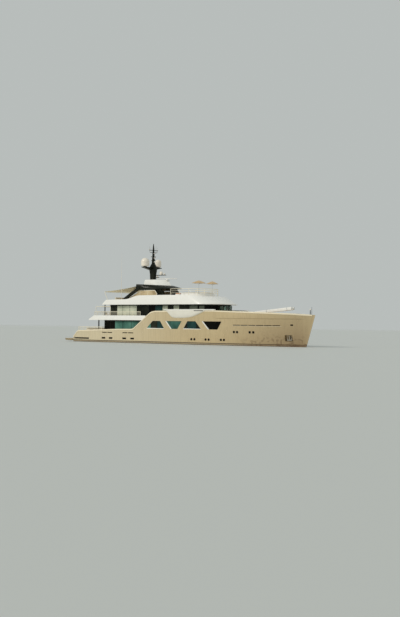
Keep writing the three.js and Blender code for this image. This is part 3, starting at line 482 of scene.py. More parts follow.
for side in SIDES.values():
    y = side * shaft_y
    bossing = [(-16.6, y, shaft_z), (-15.6, y, shaft_z + 0.02), (-11, y, shaft_z + 0.1)]
    underwater.append(tube(bossing, 0.3, 24))
    underwater.append(tube([(-19.3, y, shaft_z), (prop_x + 0.5, y, shaft_z)], 0.26, 24))
    for out in (-0.9, 0.9):
        head = (-19.9, y + out, keel_at(-19.9, y + out) + 0.35)
        underwater.append(tube([(-20.1, y, shaft_z), head], 0.11, 12))
    underwater.append(tube([(rudder_x, y, rudder_seat_z), (rudder_x, y, rudder_seat_z + 0.9)], 0.22, 24))
    lean = (0, side * math.cos(fin_lean), -math.sin(fin_lean))
    pivot = (fin_x, side * fin_y, fin_z)
    seat = [tuple(c + reach * way for c, way in zip(pivot, lean)) for reach in (0.08, -0.6)]
    underwater.append(tube(seat, 0.24, 24))
    bright_shafts.append(tube([(-11, y, shaft_z), (prop_x + 0.32, y, shaft_z)], 0.13, 20))
antifouling = weathered(
    "brown_antifouling", "antifouling", {"Specular IOR Level": 0.25},
    (62, 48, 38), (98, 84, 66), 0.5, 0.6, 0.5, 0.7, 0.1,
)
bronze = weathered(
    "cast_bronze", "bronze", {"Metallic": 1.0}, (196, 158, 96), (112, 86, 52), 0.5, 0.3, 0.3, 0.28
)
add("underwater_gear", underwater, antifouling, 40)
add("propeller_shafts", bright_shafts, bronze, 40)
repaint(antifouling, "rudder_starboard", "rudder_port", "stabiliser_starboard", "stabiliser_port")


def propeller_blade(turn, side):
    """One skewed blade: rings from root to tip, each a thin lens across the way the screw turns"""
    rings = []
    for n in range(13):
        share = n / 12
        radius = lerp(0.14, 0.845, share)
        chord = 0.24 * (1.02 - share) / 0.14
        if share < 0.86:
            chord = 0.19 + 0.14 * math.sin(math.pi * min(1.0, share * 1.15))
        chord = max(chord, 0.03)
        skew = 0.1 * share * share
        twist = math.radians(lerp(62, 24, share))
        ring = []
        for a in turns(12):
            along = chord * math.cos(a) - skew
            thick = lerp(0.035, 0.008, share) * math.sin(a)
            x = along * math.sin(twist) + thick * math.cos(twist)
            out = side * (along * math.cos(twist) - thick * math.sin(twist))
            angle = turn + out / max(radius, 0.2)
            ring.append((prop_x + x, radius * math.cos(angle), radius * math.sin(angle)))
        rings.append(ring)
    return loft(rings)


hub = [(-0.42, 0.06), (-0.4, 0.13), (-0.3, 0.19), (0.0, 0.22), (0.25, 0.235), (0.316, 0.22)]
for name, side in SIDES.items():
    hub_rings = []
    for x, radius in hub:
        hub_rings.append([(prop_x + x, radius * math.cos(t), radius * math.sin(t)) for t in turns(32)])
    parts = [loft(hub_rings)] + [propeller_blade(turn, side) for turn in turns(5)]
    for points, faces in parts:
        points[:] = [(x, y + side * shaft_y, z + shaft_z) for x, y, z in points]
    add(f"screw_{name}", parts, bronze, 45, f"propeller_{name}", body=f"propeller_{name}")

sheer_line = rounded(
    [
        (-27, 0.98), (-25.4, 0.98), (-24.1, 2.24), (-12.4, 2.62), (-8.5, 2.66), (-3.95, 5.87), (-2.9, 6.08),
        (11, 6.17), (20.7, 5.86), (25.2, 5.71), (29.4, 5.47), (31, 5.4),
    ],
    0.55,
)
cut(shell, joined("above_sheer", [side_prism(sheer_line + [(31, 12), (-27, 12)], -8, 8)]))


def well(x0, x1, z, inset, step=0.5):
    count = round((x1 - x0) / step)
    xs = [lerp(x0, x1, n / count) for n in range(count + 1)]
    half = [(x, half_breadth(x, z) - inset) for x in xs]
    return half + [(x, -y) for x, y in reversed(half)]


main_deck, upper_deck_z, bulkhead_x = 1.85, 4.85, -5.5
cut(shell, joined("aft_well", [plan_prism(well(-23.9, bulkhead_x, main_deck, 0.2), main_deck, 12)]))
cut(shell, joined("fore_well", [plan_prism(well(bulkhead_x, 27.9, upper_deck_z, 0.2), upper_deck_z, 12)]))

# openings in the side: windows of the owner's deck, portholes, freeing slots, mooring ports
sill, lintel = 2.78, 4.22
# how far forward each window's corners are: aft and fore at the sill, then fore and aft at the lintel
window_xs = [(-5.0, -0.46, -1.48, -3.42), (1.1, 2.79, 3.82, -0.21), (4.12, 8.26, 7.06, 5.14)]
window_xs.append((9.73, 11.77, 12.73, 8.49))
big_windows = [((a, sill), (b, sill), (c, lintel), (d, lintel)) for a, b, c, d in window_xs]


def pill(x0, x1, z0, z1, radius=0.08):
    return rounded(corners_of((x0, x1), (z0, z1)), radius, closed=True, steps=4)


def disc(x, z, radius, sides=20):
    return [(x + radius * math.cos(t), z + radius * math.sin(t)) for t in turns(sides)]


crew_xs = ((-16.95, -15.89), (-14.93, -13.94), (-11.25, -10.23), (-9.13, -8.15))
slit_xs = ((-16.86, -15.5), (-15.36, -14.02), (-11.25, -9.9), (-9.76, -8.38))
crew_windows = [pill(*xs, 0.67, 1.0) for xs in crew_xs]
vents = [pill(*xs, 1.83, 1.99, 0.07) for xs in slit_xs]
vents += [pill(14.96 + 1.44 * n, 16.32 + 1.44 * n, 3.54, 3.67, 0.05) for n in range(6)]
vents.append(pill(25.2, 25.7, 3.6, 3.84, 0.11))
stern_slot = pill(-25.2, -20.65, 0.56, 0.84, 0.1)
upper_ports = [(x, 2.42) for x in (14.97, 15.58, 17.96, 18.62)]
porthole_spots = upper_ports + [(x, 1.0) for x in (5.96, 6.65, 9.07, 9.71, 12.22, 12.83)]
lamp_spots = [(-6.64, 2.03), (-23.6, 1.75), (-20.6, 1.72)]
pocket = corners_of((24.1, 25.4), (0.95, 2.0))
window_cuts = []
for side in SIDES.values():
    for outline in big_windows:
        window_cuts.append(hull_plate(rounded(outline, 0.16, closed=True), side, -0.13, 0.4))
    for outline in crew_windows + vents:
        window_cuts.append(hull_plate(outline, side, -0.07, 0.3))
    for x, z in porthole_spots:
        window_cuts.append(hull_plate(disc(x, z, 0.19), side, -0.09, 0.3))
    for x, z in lamp_spots:
        window_cuts.append(hull_plate(disc(x, z, 0.07, 12), side, -0.04, 0.3))
    window_cuts.append(hull_plate(stern_slot, side, -0.3, 0.3))
    window_cuts.append(hull_plate(rounded(pocket, 0.12, closed=True), side, -0.55, 0.5))
cut(shell, joined("side_openings", window_cuts))

# stairs from the swim platform and the recess of the transom door
first_tread, tread_rise = 0.612, 0.21
stair_floors = [(-25.05 + 0.33 * n, first_tread + tread_rise * n) for n in range(6)]
stair_profile = [(-26, first_tread)]
for n, (x, floor) in enumerate(stair_floors):
    stair_profile += [(x, floor), (x, floor + tread_rise if n < 5 else 3)]
stair_profile.append((-26, 3))
stair_ys = ((-4.45, -3.25), (3.25, 4.45))
cut(shell, joined("stairs", [side_prism(stair_profile, *ys) for ys in stair_ys]))

transom_foot, transom_head = (-25.4, 0.98), (-24.1, 2.24)
rake = math.atan2(transom_head[1] - transom_foot[1], transom_head[0] - transom_foot[0])


def transom_point(z, depth):
    x = transom_foot[0] + (z - transom_foot[1]) / math.tan(rake)
    return (x + depth * math.sin(rake), z - depth * math.cos(rake))


def transom_panel(half, low, high, depth0, depth1):
    places = ((low, depth0), (high, depth0), (high, depth1), (low, depth1))
    return side_prism([transom_point(*place) for place in places], -half, half)


cut(shell, joined("door_recess", [transom_panel(2.714, 1.046, 2.074, -0.3, 0.134)]))

# faces inside the bulwark are white; the reveals of the big windows are white too, a painted highlight for
# the light they catch; the outside keeps the hull's bands
shell.data.materials.append(hull_paint)
shell.data.materials.append(white_paint)
for face in shell.data.polygons:
    x, y, z = face.center / HALF
    deck = main_deck if x < bulkhead_x else upper_deck_z
    inside = z > deck - 0.05 and abs(y) < skin_y(x, z) - 0.17 and x > -24.0
    reveal_highlight = -5.1 < x < 12.8 and 2.7 < z < 4.3 and abs(y) < skin_y(x, z) - 0.02
    face.material_index = 1 if inside or reveal_highlight else 0
fit(smooth(shell, 30), hull_paint, "hull", "topsides", "bulwark")

# Cap rail
# A pale, glossy capping is bonded along the top of the bulwark from the transom to the stem, proud of the
# skin on both sides. It turns the shoulder amidships in one sweep.


def swept(path, section):
    """A section of (out, up) pairs carried along a path of places, out being to the path's right hand"""
    rings = []
    for i, place in enumerate(path):
        back = path[max(i - 1, 0)]
        ahead = path[min(i + 1, len(path) - 1)]
        run = Vector((ahead[0] - back[0], ahead[1] - back[1], 0)).normalized()
        out = Vector((run.y, -run.x, 0))
        rings.append([(place[0] + out.x * o, place[1] + out.y * o, place[2] + z) for o, z in section])
    return loft(rings)


def swept_outboard(side, path, section):
    """The same along a path that runs forward, with out turned away from the centre line"""
    return swept(path if side < 0 else path[::-1], section)


cap_paint = weathered(
    "capping_gloss", "hull_paint", {"Coat Weight": 0.6, "Coat Roughness": 0.08},
    (246, 232, 202), (190, 168, 130), 0.3, 0.6, 0.4, 0.2,
)
cap_line = [(x, z) for x, z in divided(sheer_line, 0.4, closed=False) if -25.38 < x < 29.05]
cap_section = [
    (-0.21, -0.2), (0.035, -0.22), (0.055, -0.19), (0.055, -0.02), (0.03, 0.015), (-0.19, 0.015),
    (-0.21, -0.01),
]
cap_parts = []
for side in SIDES.values():
    cap_parts.append(swept_outboard(side, [(x, side * skin_y(x, z), z) for x, z in cap_line], cap_section))
add("bulwark_capping", cap_parts, cap_paint, 50)

# Teak decks
# Sprung teak planks, 100 mm wide with black caulked seams, are laid inside a white margin on every deck that
# is walked on, down to the treads of the stern stairs.
planks, given, result = new_group(
    "caulked_planks",
    {
        "Plank Width": 0.05, "Plank Length": 1.6, "Wood": (0.4, 0.25, 0.12, 1),
        "Weathered": (0.5, 0.4, 0.3, 1), "Caulk": (0.02, 0.02, 0.02, 1),
    },
    ["Color", "Height", "Roughness"],
)
spot = object_spot(planks)
seam_look = {
    "Vector": spot, "Color1": (1, 1, 1, 1), "Color2": (0.55, 0.55, 0.55, 1), "Mortar": (0, 0, 0, 1),
    "Scale": 1.0, "Mortar Size": 0.0035, "Mortar Smooth": 0.2, "Brick Width": given["Plank Length"],
    "Row Height": given["Plank Width"],
}
seams = node(planks, "TexBrick", seam_look, offset=0.37).outputs
grain = noise(planks, spot, 9.0, 6.0, distortion=0.6)
aged = maths(planks, "ADD", product(planks, seams["Color"], grain), noise(planks, spot, 0.8, 3.0))
wood = blend(planks, ramp(planks, aged, 0.4, 1.3), given["Wood"], given["Weathered"])
link(planks, result, {
    "Color": blend(planks, seams["Fac"], wood, given["Caulk"]),
    "Height": maths(planks, "SUBTRACT", 1.0, seams["Fac"]),
    "Roughness": maths(planks, "MULTIPLY_ADD", grain, 0.3, 0.5),
})
teak, tree, shader = paint("laid_teak", {})
tones = {"Wood": rgb(176, 134, 88), "Weathered": rgb(205, 178, 140), "Caulk": rgb(40, 34, 30)}
laid = node(tree, "Group", tones, node_tree=planks).outputs
normal = relief(tree, laid["Height"], 0.4, 0.004)
link(tree, shader, {"Base Color": laid["Color"], "Roughness": laid["Roughness"], "Normal": normal})

main_teak, upper_teak = (main_deck, main_deck + 0.02), (upper_deck_z, upper_deck_z + 0.02)
decking = [plan_prism(well(-23.75, -17.5, main_deck, 0.42), *main_teak)]
decking += [block((-17.4, -5.7), ys, main_teak) for ys in ((-4.55, -4.15), (4.15, 4.55))]
decking.append(plan_prism(well(10.4, 26.6, upper_deck_z, 0.5), *upper_teak))
decking += [block((-19.3, 6.5), ys, upper_teak) for ys in ((-4.5, -3.95), (3.95, 4.5))]
decking.append(block((-19.6, -16.2), (-3.9, 3.9), upper_teak))
for x, floor in stair_floors[1:]:
    decking += [block((x - 0.27, x - 0.03), ys, (floor, floor + 0.018)) for ys in stair_ys]
decking.append(block((-28.45, -25.65), (-4.1, 4.1), (0.6, 0.615)))
add("teak_decking", decking, teak)

# Windows and fittings of the topsides
# Tinted panes stand in the recesses of the owner's deck behind the trapezoid openings, with dark mullions.
# The portholes below have dark turned rims.


def glazing(name, dark, light, folds=0.0, fold_width=0.12):
    made, tree, shader = paint(name, {"Roughness": 0.08, "Specular IOR Level": 0.06})
    spot = object_spot(tree)
    share = ramp(tree, noise(tree, spot, 0.9, 2.0), 0.3, 0.7)
    if folds:
        pleats = node(tree, "TexWave", {"Vector": spot, "Scale": 0.5 / fold_width, "Distortion": 0.6})
        share = maths(tree, "MULTIPLY_ADD", pleats.outputs["Fac"], folds, share)
    link(tree, shader, {"Base Color": blend(tree, share, rgb(*dark), rgb(*light))})
    return made


# painted reflection and shade: each pane colour is the glass's tint with the reflection it shows painted in;
# the curtained panes show pleated blinds behind
panes = {
    "black": glazing("black_glass", (6, 7, 4), (16, 16, 12)),
    "dark": glazing("glass_and_slot_shade", (26, 28, 22), (54, 58, 48)),
    "teal": glazing("teal_glass", (64, 106, 96), (98, 146, 132)),
    "mid_teal": glazing("mid_teal_glass", (44, 78, 70), (72, 112, 102)),
    "deep_teal": glazing("deep_teal_glass", (22, 46, 46), (46, 76, 74)),
    "grey": glazing("grey_reflecting_glass", (96, 104, 94), (130, 136, 122)),
    "curtain": glazing("curtained_glass", (172, 180, 162), (214, 218, 198), folds=0.5),
}
trim_dark = weathered(
    "dark_window_trim", "dark_paint", {"Specular IOR Level": 0.2}, (22, 22, 19), (56, 53, 46), 0.4, gloss=0.35
)
steel = weathered(
    "polished_steel", "bright_steel", {"Metallic": 1.0},
    (226, 224, 218), (150, 142, 128), 0.35, 0.1, 0.4, 0.16,
)


def window_part(outline, x0, x1):
    """The piece of a window outline between two places along the ship"""
    inside = [(between(x, x0, x1), z) for x, z in divided(outline, 0.12)]
    return [p for i, p in enumerate(inside) if math.dist(p, inside[i - 1]) > 1e-4]


# each window is split into panes of the colours that its painted reflections take
window_looks = [
    [(-6, -3.9, "teal"), (-3.9, -2.3, "dark"), (-2.3, 0.2, "deep_teal")],
    [(-1, 0.9, "mid_teal"), (0.9, 4, "mid_teal")],
    [(3, 5.0, "dark"), (5.0, 7.2, "deep_teal"), (7.2, 9, "dark")],
    [(8, 13, "black")],
]
for name, side in SIDES.items():
    by_look = {}
    for outline, looks in zip(big_windows, window_looks):
        wide = rounded(outline, 0.16, closed=True)
        for x0, x1, look in looks:
            plate = hull_plate(window_part(wide, x0, x1), side, -0.128, -0.1, step=0.3)
            by_look.setdefault(look, []).append(plate)
    for look, parts in by_look.items():
        spent = (f"topside_glass_{name}",) if look == "deep_teal" else ()
        add(f"owner_deck_{look}_panes_{name}", parts, panes[look], 35, *spent)
# painted highlight: a white reveal shows at the slanted aft edges of windows 2 and 4, and along the sills of
# windows 1 and 3, where they catch the light
reveal_outlines = []
for head, foot_fore, foot_aft in ((-0.21, 1.31, 1.1), (8.49, 9.95, 9.73)):
    reveal_outlines.append([(head, lintel), (head + 0.23, lintel), (foot_fore, sill), (foot_aft, sill)])
reveal_outlines += [
    [(-5.0, sill), (-4.88, 2.9), (-0.58, 2.86), (-0.46, sill)],
    [(4.12, sill), (4.24, 2.9), (8.14, 2.86), (8.26, sill)],
]
reveal_highlights = [hull_plate(outline, side, -0.1, -0.03) for outline in reveal_outlines for side in SIDES.values()]
add("window_reveal_highlights", reveal_highlights, white_paint)
mullions, rims, vent_lips, glass_and_slot_shade = [], [], [], []
rim_section = [(0.17, -0.03), (0.2, 0.02), (0.235, 0.018), (0.245, -0.01), (0.2, -0.04)]
lip_section = [(-0.04, -0.03), (0.04, -0.02), (0.05, 0.02), (-0.04, 0.04)]
for side in SIDES.values():
    for looks in window_looks:
        for _, x, _ in looks[:-1]:
            bar = corners_of((x - 0.035, x + 0.035), (sill, lintel))
            mullions.append(hull_plate(bar, side, -0.12, -0.075))
    for outline in crew_windows:
        glass_and_slot_shade.append(hull_plate(outline, side, -0.069, -0.045))
    # painted shade: black plates at the back of the vents and the stern slot stand for the shade inside them
    for outline in vents:
        glass_and_slot_shade.append(hull_plate(outline, side, -0.069, -0.05))
    glass_and_slot_shade.append(hull_plate(stern_slot, side, -0.299, -0.27))
    for x, z in porthole_spots:
        glass_and_slot_shade.append(hull_plate(disc(x, z, 0.18), side, -0.089, -0.06))
        skin = skin_y(x, z)
        ring = [
            [(x + r * math.cos(t), side * (skin + out), z + r * math.sin(t)) for r, out in rim_section]
            for t in turns(24)
        ]
        rims.append(loft(ring + [ring[0]], ends=False))
    lip = [(x, side * (skin_y(x, 3.5) + 0.01), 3.49) for x in [lerp(14.8, 23.7, n / 20) for n in range(21)]]
    vent_lips.append(swept_outboard(side, lip, lip_section))
add("bow_vent_lips", vent_lips, cap_paint)
add("owner_deck_mullions", mullions, trim_dark)
add("scuttle_glass_and_slot_shade", glass_and_slot_shade, panes["black"])
add("porthole_rims", rims, trim_dark, 50)
galvanised = weathered(
    "galvanised_anchor", "anchor_steel", {"Metallic": 0.5}, (150, 142, 126), (92, 76, 58), 0.6, 0.1, 0.2, 0.5
)
repaint(galvanised, "anchor_starboard", "anchor_port")

# Bridge wings
# A moulded white blister hangs on each side below the bridge: its face leans out and its foot turns under
# like a boat's bilge. A dark slot near its fore end holds the side light.
wing_foot = [
    (-0.25, 6.36), (0.2, 5.95), (1.33, 4.95), (1.9, 4.8), (3.11, 4.77), (4.6, 4.8), (5.92, 4.92), (7.2, 5.25),
    (8.31, 5.68), (9.2, 6.03), (10.3, 6.33),
]
# how far out the blister's face is, as a share of its bulge, at each share of its height
wing_face = [(0.85, 1.0), (1, 0.95), (1, 0.8), (0.97, 0.55), (0.86, 0.34), (0.6, 0.15), (0.25, 0.03)]


def along(line, x):
    for (x0, z0), (x1, z1) in zip(line, line[1:]):
        if x0 <= x <= x1:
            return lerp(z0, z1, (x - x0) / (x1 - x0))
    return line[-1][1] if x > line[-1][0] else line[0][1]


# painted shade: the blister's white is a little greyer than the other white paint, for the shade on its face
shaded_wing_paint = weathered(
    "wing_white_painted_shade", "white_paint", {"Coat Weight": 0.3, "Coat Roughness": 0.08},
    (238, 234, 222), (198, 190, 174), 0.4, 0.6, 0.5, 0.3,
)
foot_curve = divided(rounded(wing_foot, 0.7), 0.2, closed=False)
lip_places = [lerp(-0.35, 11.4, n / 40) for n in range(41)]
lip_section = [(-0.3, -0.1), (0.07, -0.1), (0.1, -0.05), (0.08, 0.07), (-0.3, 0.08)]
wing_top = 6.37
for name, side in SIDES.items():
    rings = []
    for n in range(81):
        x = lerp(-0.24, 10.6, n / 80)
        low = along(foot_curve, x)
        bulge = 0.26 * between((wing_top - low) / 0.9, 0.02, 1) ** 0.5
        bulged = [(bulge * out, share) for out, share in wing_face]
        profile = [(-0.12, 1.0), *bulged, (-0.02, 0.0), (-0.12, 0.0)]
        ring = []
        for reach, share in profile:
            z = lerp(low, wing_top, share)
            ring.append((x, side * (skin_y(x, z) + reach), z))
        rings.append(ring)
    wing = joined(f"bridge_wing_blister_{name}", [loft(rings)])
    cut(wing, joined("slot", [hull_plate(pill(6.8, 8.95, 6.05, 6.17, 0.05), side, 0.06, 0.4)]))
    fit(smooth(wing, 45), shaded_wing_paint, f"bridge_wing_{name}")
    lamp = hull_plate(pill(6.79, 8.96, 6.04, 6.18, 0.05), side, 0.0, 0.075)
    add(f"side_light_{name}", [lamp], panes["black"])
    # a white lip runs along the top of the blister and on past its fore end
    lip_line = []
    for x in lip_places:
        out = skin_y(x, 6.2) + 0.2 * between((11.4 - x) / 2.5, 0.15, 1)
        lip_line.append((x, side * out, 6.3))
    add(f"wing_lip_{name}", [swept_outboard(side, lip_line, lip_section)], white_paint, 50)

# Upper deck
# The upper deck overhangs the aft deck as one faired white slab with a low bulwark round it, its aft end
# raked. Two slender dark posts carry it from the main deck, and two more carry the sun deck.
dark_paint = weathered(
    "dark_house_paint", "dark_paint", {"Specular IOR Level": 0.15, "Coat Weight": 0.03},
    (26, 28, 20), (60, 57, 44), 0.4, 0.2, 0.9, 0.3,
)


def mirrored(half):
    """A whole plan outline from its port half, listed from the stern forward"""
    return [(x, -y) for x, y in half if y > 0] + [(x, y) for x, y in reversed(half)]


def tier(levels):
    """A body whose plan changes with height, from a list of (port half outline, height)"""
    return loft([[(x, y, z) for x, y in mirrored(half)] for half, z in levels])


def moved_in(half, inset):
    """A half outline moved square to itself towards the centre line"""
    out = []
    last = len(half) - 1
    for i, (x, y) in enumerate(half):
        if i == last and y == 0:
            out.append((x - inset, 0))
            continue
        back = half[max(i - 1, 0)]
        ahead = half[i + 1] if i < last else (x, -y)
        run = Vector((ahead[0] - back[0], ahead[1] - back[1])).normalized()
        out.append((x + run.y * inset, max(y - run.x * inset, 0.01) if y else 0.0))
    return out


def part_way(one, other, share):
    """A plan part of the way from one to another with as many places"""
    return [(lerp(a[0], b[0], share), lerp(a[1], b[1], share)) for a, b in zip(one, other)]


def turned(profile, centre=(0, 0, 0), sides=32, ends=True):
    """A body of (radius, height) pairs turned about an upright line through the centre"""
    cx, cy, cz = centre
    rings = []
    for r, z in profile:
        rings.append([(cx + r * math.cos(t), cy + r * math.sin(t), cz + z) for t in turns(sides)])
    return loft(rings, ends)


upper_lower = rounded([(-21.6, 0.0), (-21.6, 3.2), (-21.4, 4.25), (-20.8, 4.88), (-5.52, 4.92)], 0.25)
upper_upper = rounded([(-20.35, 0.0), (-20.35, 3.1), (-20.15, 4.1), (-19.6, 4.78), (-5.52, 4.84)], 0.25)
upper_levels = [
    (moved_in(upper_lower, 0.12), 4.3),
    (moved_in(upper_lower, 0.02), 4.33),
    (upper_lower, 4.4),
    (upper_lower, 4.46),
    (moved_in(upper_upper, -0.02), 5.14),
    (moved_in(upper_upper, 0.02), 5.2),
    (moved_in(upper_upper, 0.08), 5.22),
]
upper_slab = joined("upper_deck_slab", [tier(upper_levels)])
hull_room = [(x, half_breadth(x, main_deck) - 0.21) for x in (-24, -21, -18, -15, -12, -9, bulkhead_x)]
cut(upper_slab, joined("between_bulwarks", [plan_prism(mirrored(hull_room), 0, 8)]), "INTERSECT")
upper_well = rounded([(-20.1, 0.0), (-20.1, 3.02), (-19.9, 3.98), (-19.4, 4.66), (-5.2, 4.7)], 0.6)
cut(upper_slab, joined("upper_well", [plan_prism(mirrored(upper_well), upper_deck_z, 8)]))
fit(smooth(upper_slab, 40), white_paint, "upper_deck", "upper_bulwark")
posts = []
for side in SIDES.values():
    posts.append(tube([(-18.3, side * 4.5, main_deck), (-18.3, side * 4.5, 4.32)], 0.12, 20))
    posts.append(tube([(-16.7, side * 4.45, upper_deck_z), (-16.7, side * 4.45, 7.4)], 0.1, 20))
add("deck_posts", posts, dark_paint, 50)

# Guard rails
# Rails are cream enamelled tube: a thick top rail over thinner middle ones, on posts welded to pads.
rail_paint = weathered(
    "cream_rail_enamel", "bright_steel", {"Coat Weight": 0.4, "Coat Roughness": 0.1},
    (252, 243, 220), (206, 188, 152), 0.3, 0.1, 0.3, 0.25,
)


def guard_rail(path, top, middles, post=0.036, bar=0.032):
    parts = []
    for x, y, foot in path:
        parts.append(tube([(x, y, foot), (x, y, top)], post, 10))
        parts.append(tube([(x, y, foot), (x, y, foot + 0.03)], post * 2.2, 14))
    for height, thick in [(top, bar * 1.35)] + [(z, bar * 0.85) for z in middles]:
        parts.append(tube([(x, y, height) for x, y, foot in path], thick, 10))
    return parts


def other_side(half):
    return [(x, -y, z) for x, y, z in reversed(half)]


rail_y = 4.755
upper_rail_half = [(x, rail_y, 5.2) for x in (-6.9, -8.9, -10.9, -12.9, -14.9, -16.9, -18.9)]
upper_rail_half += [(-19.75, 4.35, 5.2), (-20.15, 3.1, 5.2), (-20.25, 1.0, 5.2)]
upper_rail = guard_rail(upper_rail_half + other_side(upper_rail_half), 5.95, [5.72, 5.47])
hoop = [(-18.9, 5.9), (-18.9, 6.88), (-18.82, 6.95), (-14.98, 6.95), (-14.9, 6.88), (-14.9, 5.9)]
for side in SIDES.values():
    upper_rail.append(tube([(x, side * rail_y, z) for x, z in hoop], 0.05, 10))
upper_rail.append(tube([(-18.9, -rail_y, 6.95), (-18.9, rail_y, 6.95)], 0.05, 10))
aft_rail_half = [(x, half_breadth(x, 2.2) - 0.1, 2.3) for x in (-17, -19.2, -21.4, -23.4)]
aft_rail_half += [(-23.98, y, 2.26) for y in (4.6, 3.1, 1.55)]
aft_rail_path = aft_rail_half + [(-23.98, 0, 2.26)] + other_side(aft_rail_half)
add("upper_deck_rail", upper_rail, rail_paint, 50)
add("stern_rail", guard_rail(aft_rail_path, 2.97, [2.75, 2.52]), rail_paint, 50, "aft_rail")
sun_rail_half = [
    (-0.4, 3.55, 9.05), (1.8, 3.55, 9.01), (4.0, 3.5, 8.96), (5.6, 2.9, 8.92), (6.5, 1.9, 8.9),
    (6.9, 0.6, 8.89),
]
sun_rail_path = other_side(sun_rail_half[::-1]) + sun_rail_half[::-1]
add("sun_deck_rail", guard_rail(sun_rail_path, 10.2, [9.82, 9.45]), rail_paint, 50, "sun_rail")

# Deckhouses
# Both houses are painted dark, so that glass and wall read as one band. Panes stand flush between thin dark
# mullions; those of the saloon are teal, those of the upper cabins have pleated blinds drawn behind.
repaint(dark_paint, "main_deckhouse")
# the pane colours below are painted reflection and shade over the glass's tint
main_panes = [
    (-17.1, -15.6, "black"), (-15.6, -14.35, "black"), (-14.35, -12.25, "teal"), (-12.25, -9.95, "teal"),
    (-9.95, -7.3, "teal"), (-7.3, -5.75, "deep_teal"),
]
upper_panes = [
    (-15.7, -14.0, "dark"), (-14.0, -12.5, "curtain"), (-12.5, -10.6, "curtain"), (-10.6, -8.74, "curtain"),
    (-8.74, -7.2, "dark"), (-7.2, -5.6, "dark"), (-5.6, -4.0, "black"), (-4.0, -2.15, "deep_teal"),
    (-2.15, -0.8, "curtain"), (-0.8, 0.6, "dark"), (0.6, 2.0, "curtain"), (2.0, 4.5, "dark"),
    (4.5, 6.5, "grey"),
]
upper_span = (5.2, 7.1)


def glazed_wall(house, table, gap, glass, bar_half, bar):
    """Panes and mullions on both sides of a house; glass and bar each as (near y, far y), (low, high)"""
    for name, side in SIDES.items():
        by_look, bars = {}, []
        for x0, x1, look in table:
            by_look.setdefault(look, []).append(side_block(side, (x0 + gap, x1 - gap), *glass))
            bars.append(side_block(side, (x1 - bar_half, x1 + bar_half), *bar))
        for look, parts in by_look.items():
            spent = (f"main_glass_{name}",) if look == "teal" else ()
            add(f"{house}_{look}_panes_{name}", parts, panes[look], 35, *spent, soft=0.008)
        add(f"{house}_mullions_{name}", bars, trim_dark)


glazed_wall("saloon", main_panes, 0.02, ((3.955, 3.99), (2.12, 4.1)), 0.035, ((3.952, 4.0), (2.1, 4.12)))
house_half = rounded([(-15.95, 3.75), (6.8, 3.75), (8.6, 3.25), (9.6, 2.15), (9.98, 1.1), (10.05, 0.0)], 0.9)
house_path = [(x, -y, 0) for x, y in house_half] + [(x, y, 0) for x, y in reversed(house_half[:-1])]
house_line = divided(house_path, 0.4, closed=False)
front_line = [p for p in house_line if p[0] > 6.5]
house_foot, house_head = 4.855, 7.268
lower_wall = [(-0.14, house_foot), (0.0, house_foot), (0.0, 5.22), (-0.14, 5.22)]
upper_wall = [(-0.14, 7.02), (0.0, 7.02), (0.0, house_head), (-0.14, house_head)]
front_sill = [(-0.14, 5.15), (0.0, 5.15), (0.03, 5.84), (-0.14, 5.84)]
house_parts = [swept(house_line, lower_wall), swept(house_line, upper_wall), swept(front_line, front_sill)]
for ys, low in (((-3.75, -1.0), house_foot), ((1.0, 3.75), house_foot), ((-1.0, 1.0), 7.0)):
    house_parts.append(block((-15.95, -15.81), ys, (low, house_head)))
house_parts.append(block((-16.09, -15.94), (-3.5, 3.5), (7.06, 7.16)))
for side in SIDES.values():
    for x in (-15.8, -8.8, -4.1, 1.9, 6.42):
        house_parts.append(side_block(side, (x - 0.08, x + 0.08), (3.61, 3.748), upper_span))
add("upper_deckhouse_walls", house_parts, dark_paint, 40, "upper_deckhouse")
glazed_wall("upper", upper_panes, 0.015, ((3.752, 3.79), upper_span), 0.03, ((3.751, 3.798), upper_span))

clear_look = {
    "Metallic": 0.0, "Transmission Weight": 0.9, "Roughness": 0.02, "IOR": 1.45,
    "Base Color": rgb(150, 190, 170),
}
clear_glass, tree, shader = paint("clear_bridge_glass", clear_look)
# the bridge windows lean out at the top: nine panes from one corner post round the front to the other
pane_section = [(0.0, 5.84), (0.03, 5.84), (0.13, 7.05), (0.1, 7.05)]
post_section = [(-0.06, 5.8), (0.035, 5.8), (0.135, 7.08), (0.04, 7.08)]
pane_count = 9


def piece_of(line, from_share, to_share, step=0.15):
    fine = divided(line, step, closed=False)
    lengths = [0.0]
    for a, b in zip(fine, fine[1:]):
        lengths.append(lengths[-1] + math.dist(a, b))
    whole = lengths[-1]
    return [p for p, far in zip(fine, lengths) if from_share * whole <= far <= to_share * whole]


# painted reflection and shade: the corner panes are grey and the others black, the middle three clear
bridge_dark, bridge_clear, bridge_grey, bridge_posts = [], [], [], []
for n in range(pane_count):
    run = piece_of(front_line, n / pane_count + 0.004, (n + 1) / pane_count - 0.004)
    kept = bridge_clear if n in (3, 4, 5) else bridge_grey if n in (0, pane_count - 1) else bridge_dark
    kept.append(swept(run, pane_section))
    if n:
        post = piece_of(front_line, n / pane_count - 0.007, n / pane_count + 0.007, step=0.05)
        bridge_posts.append(swept(post, post_section))
add("bridge_dark_panes", bridge_dark, panes["black"], 35, "upper_glass")
add("bridge_clear_panes", bridge_clear, clear_glass)
add("bridge_grey_panes", bridge_grey, panes["grey"])
add("bridge_window_posts", bridge_posts, dark_paint)

# Sun deck and brow
# The sun deck's bulwark and the brow over the bridge are one white faired moulding, its faces leaning in, the
# top stepping up amidships where the raised forward deck begins.


def round_front(x, long, half, steps=16):
    quarter = [math.pi / 2 * k / steps for k in range(steps + 1)]
    return [(x + long * math.sin(t), half * math.cos(t) if k < steps else 0.0) for k, t in enumerate(quarter)]


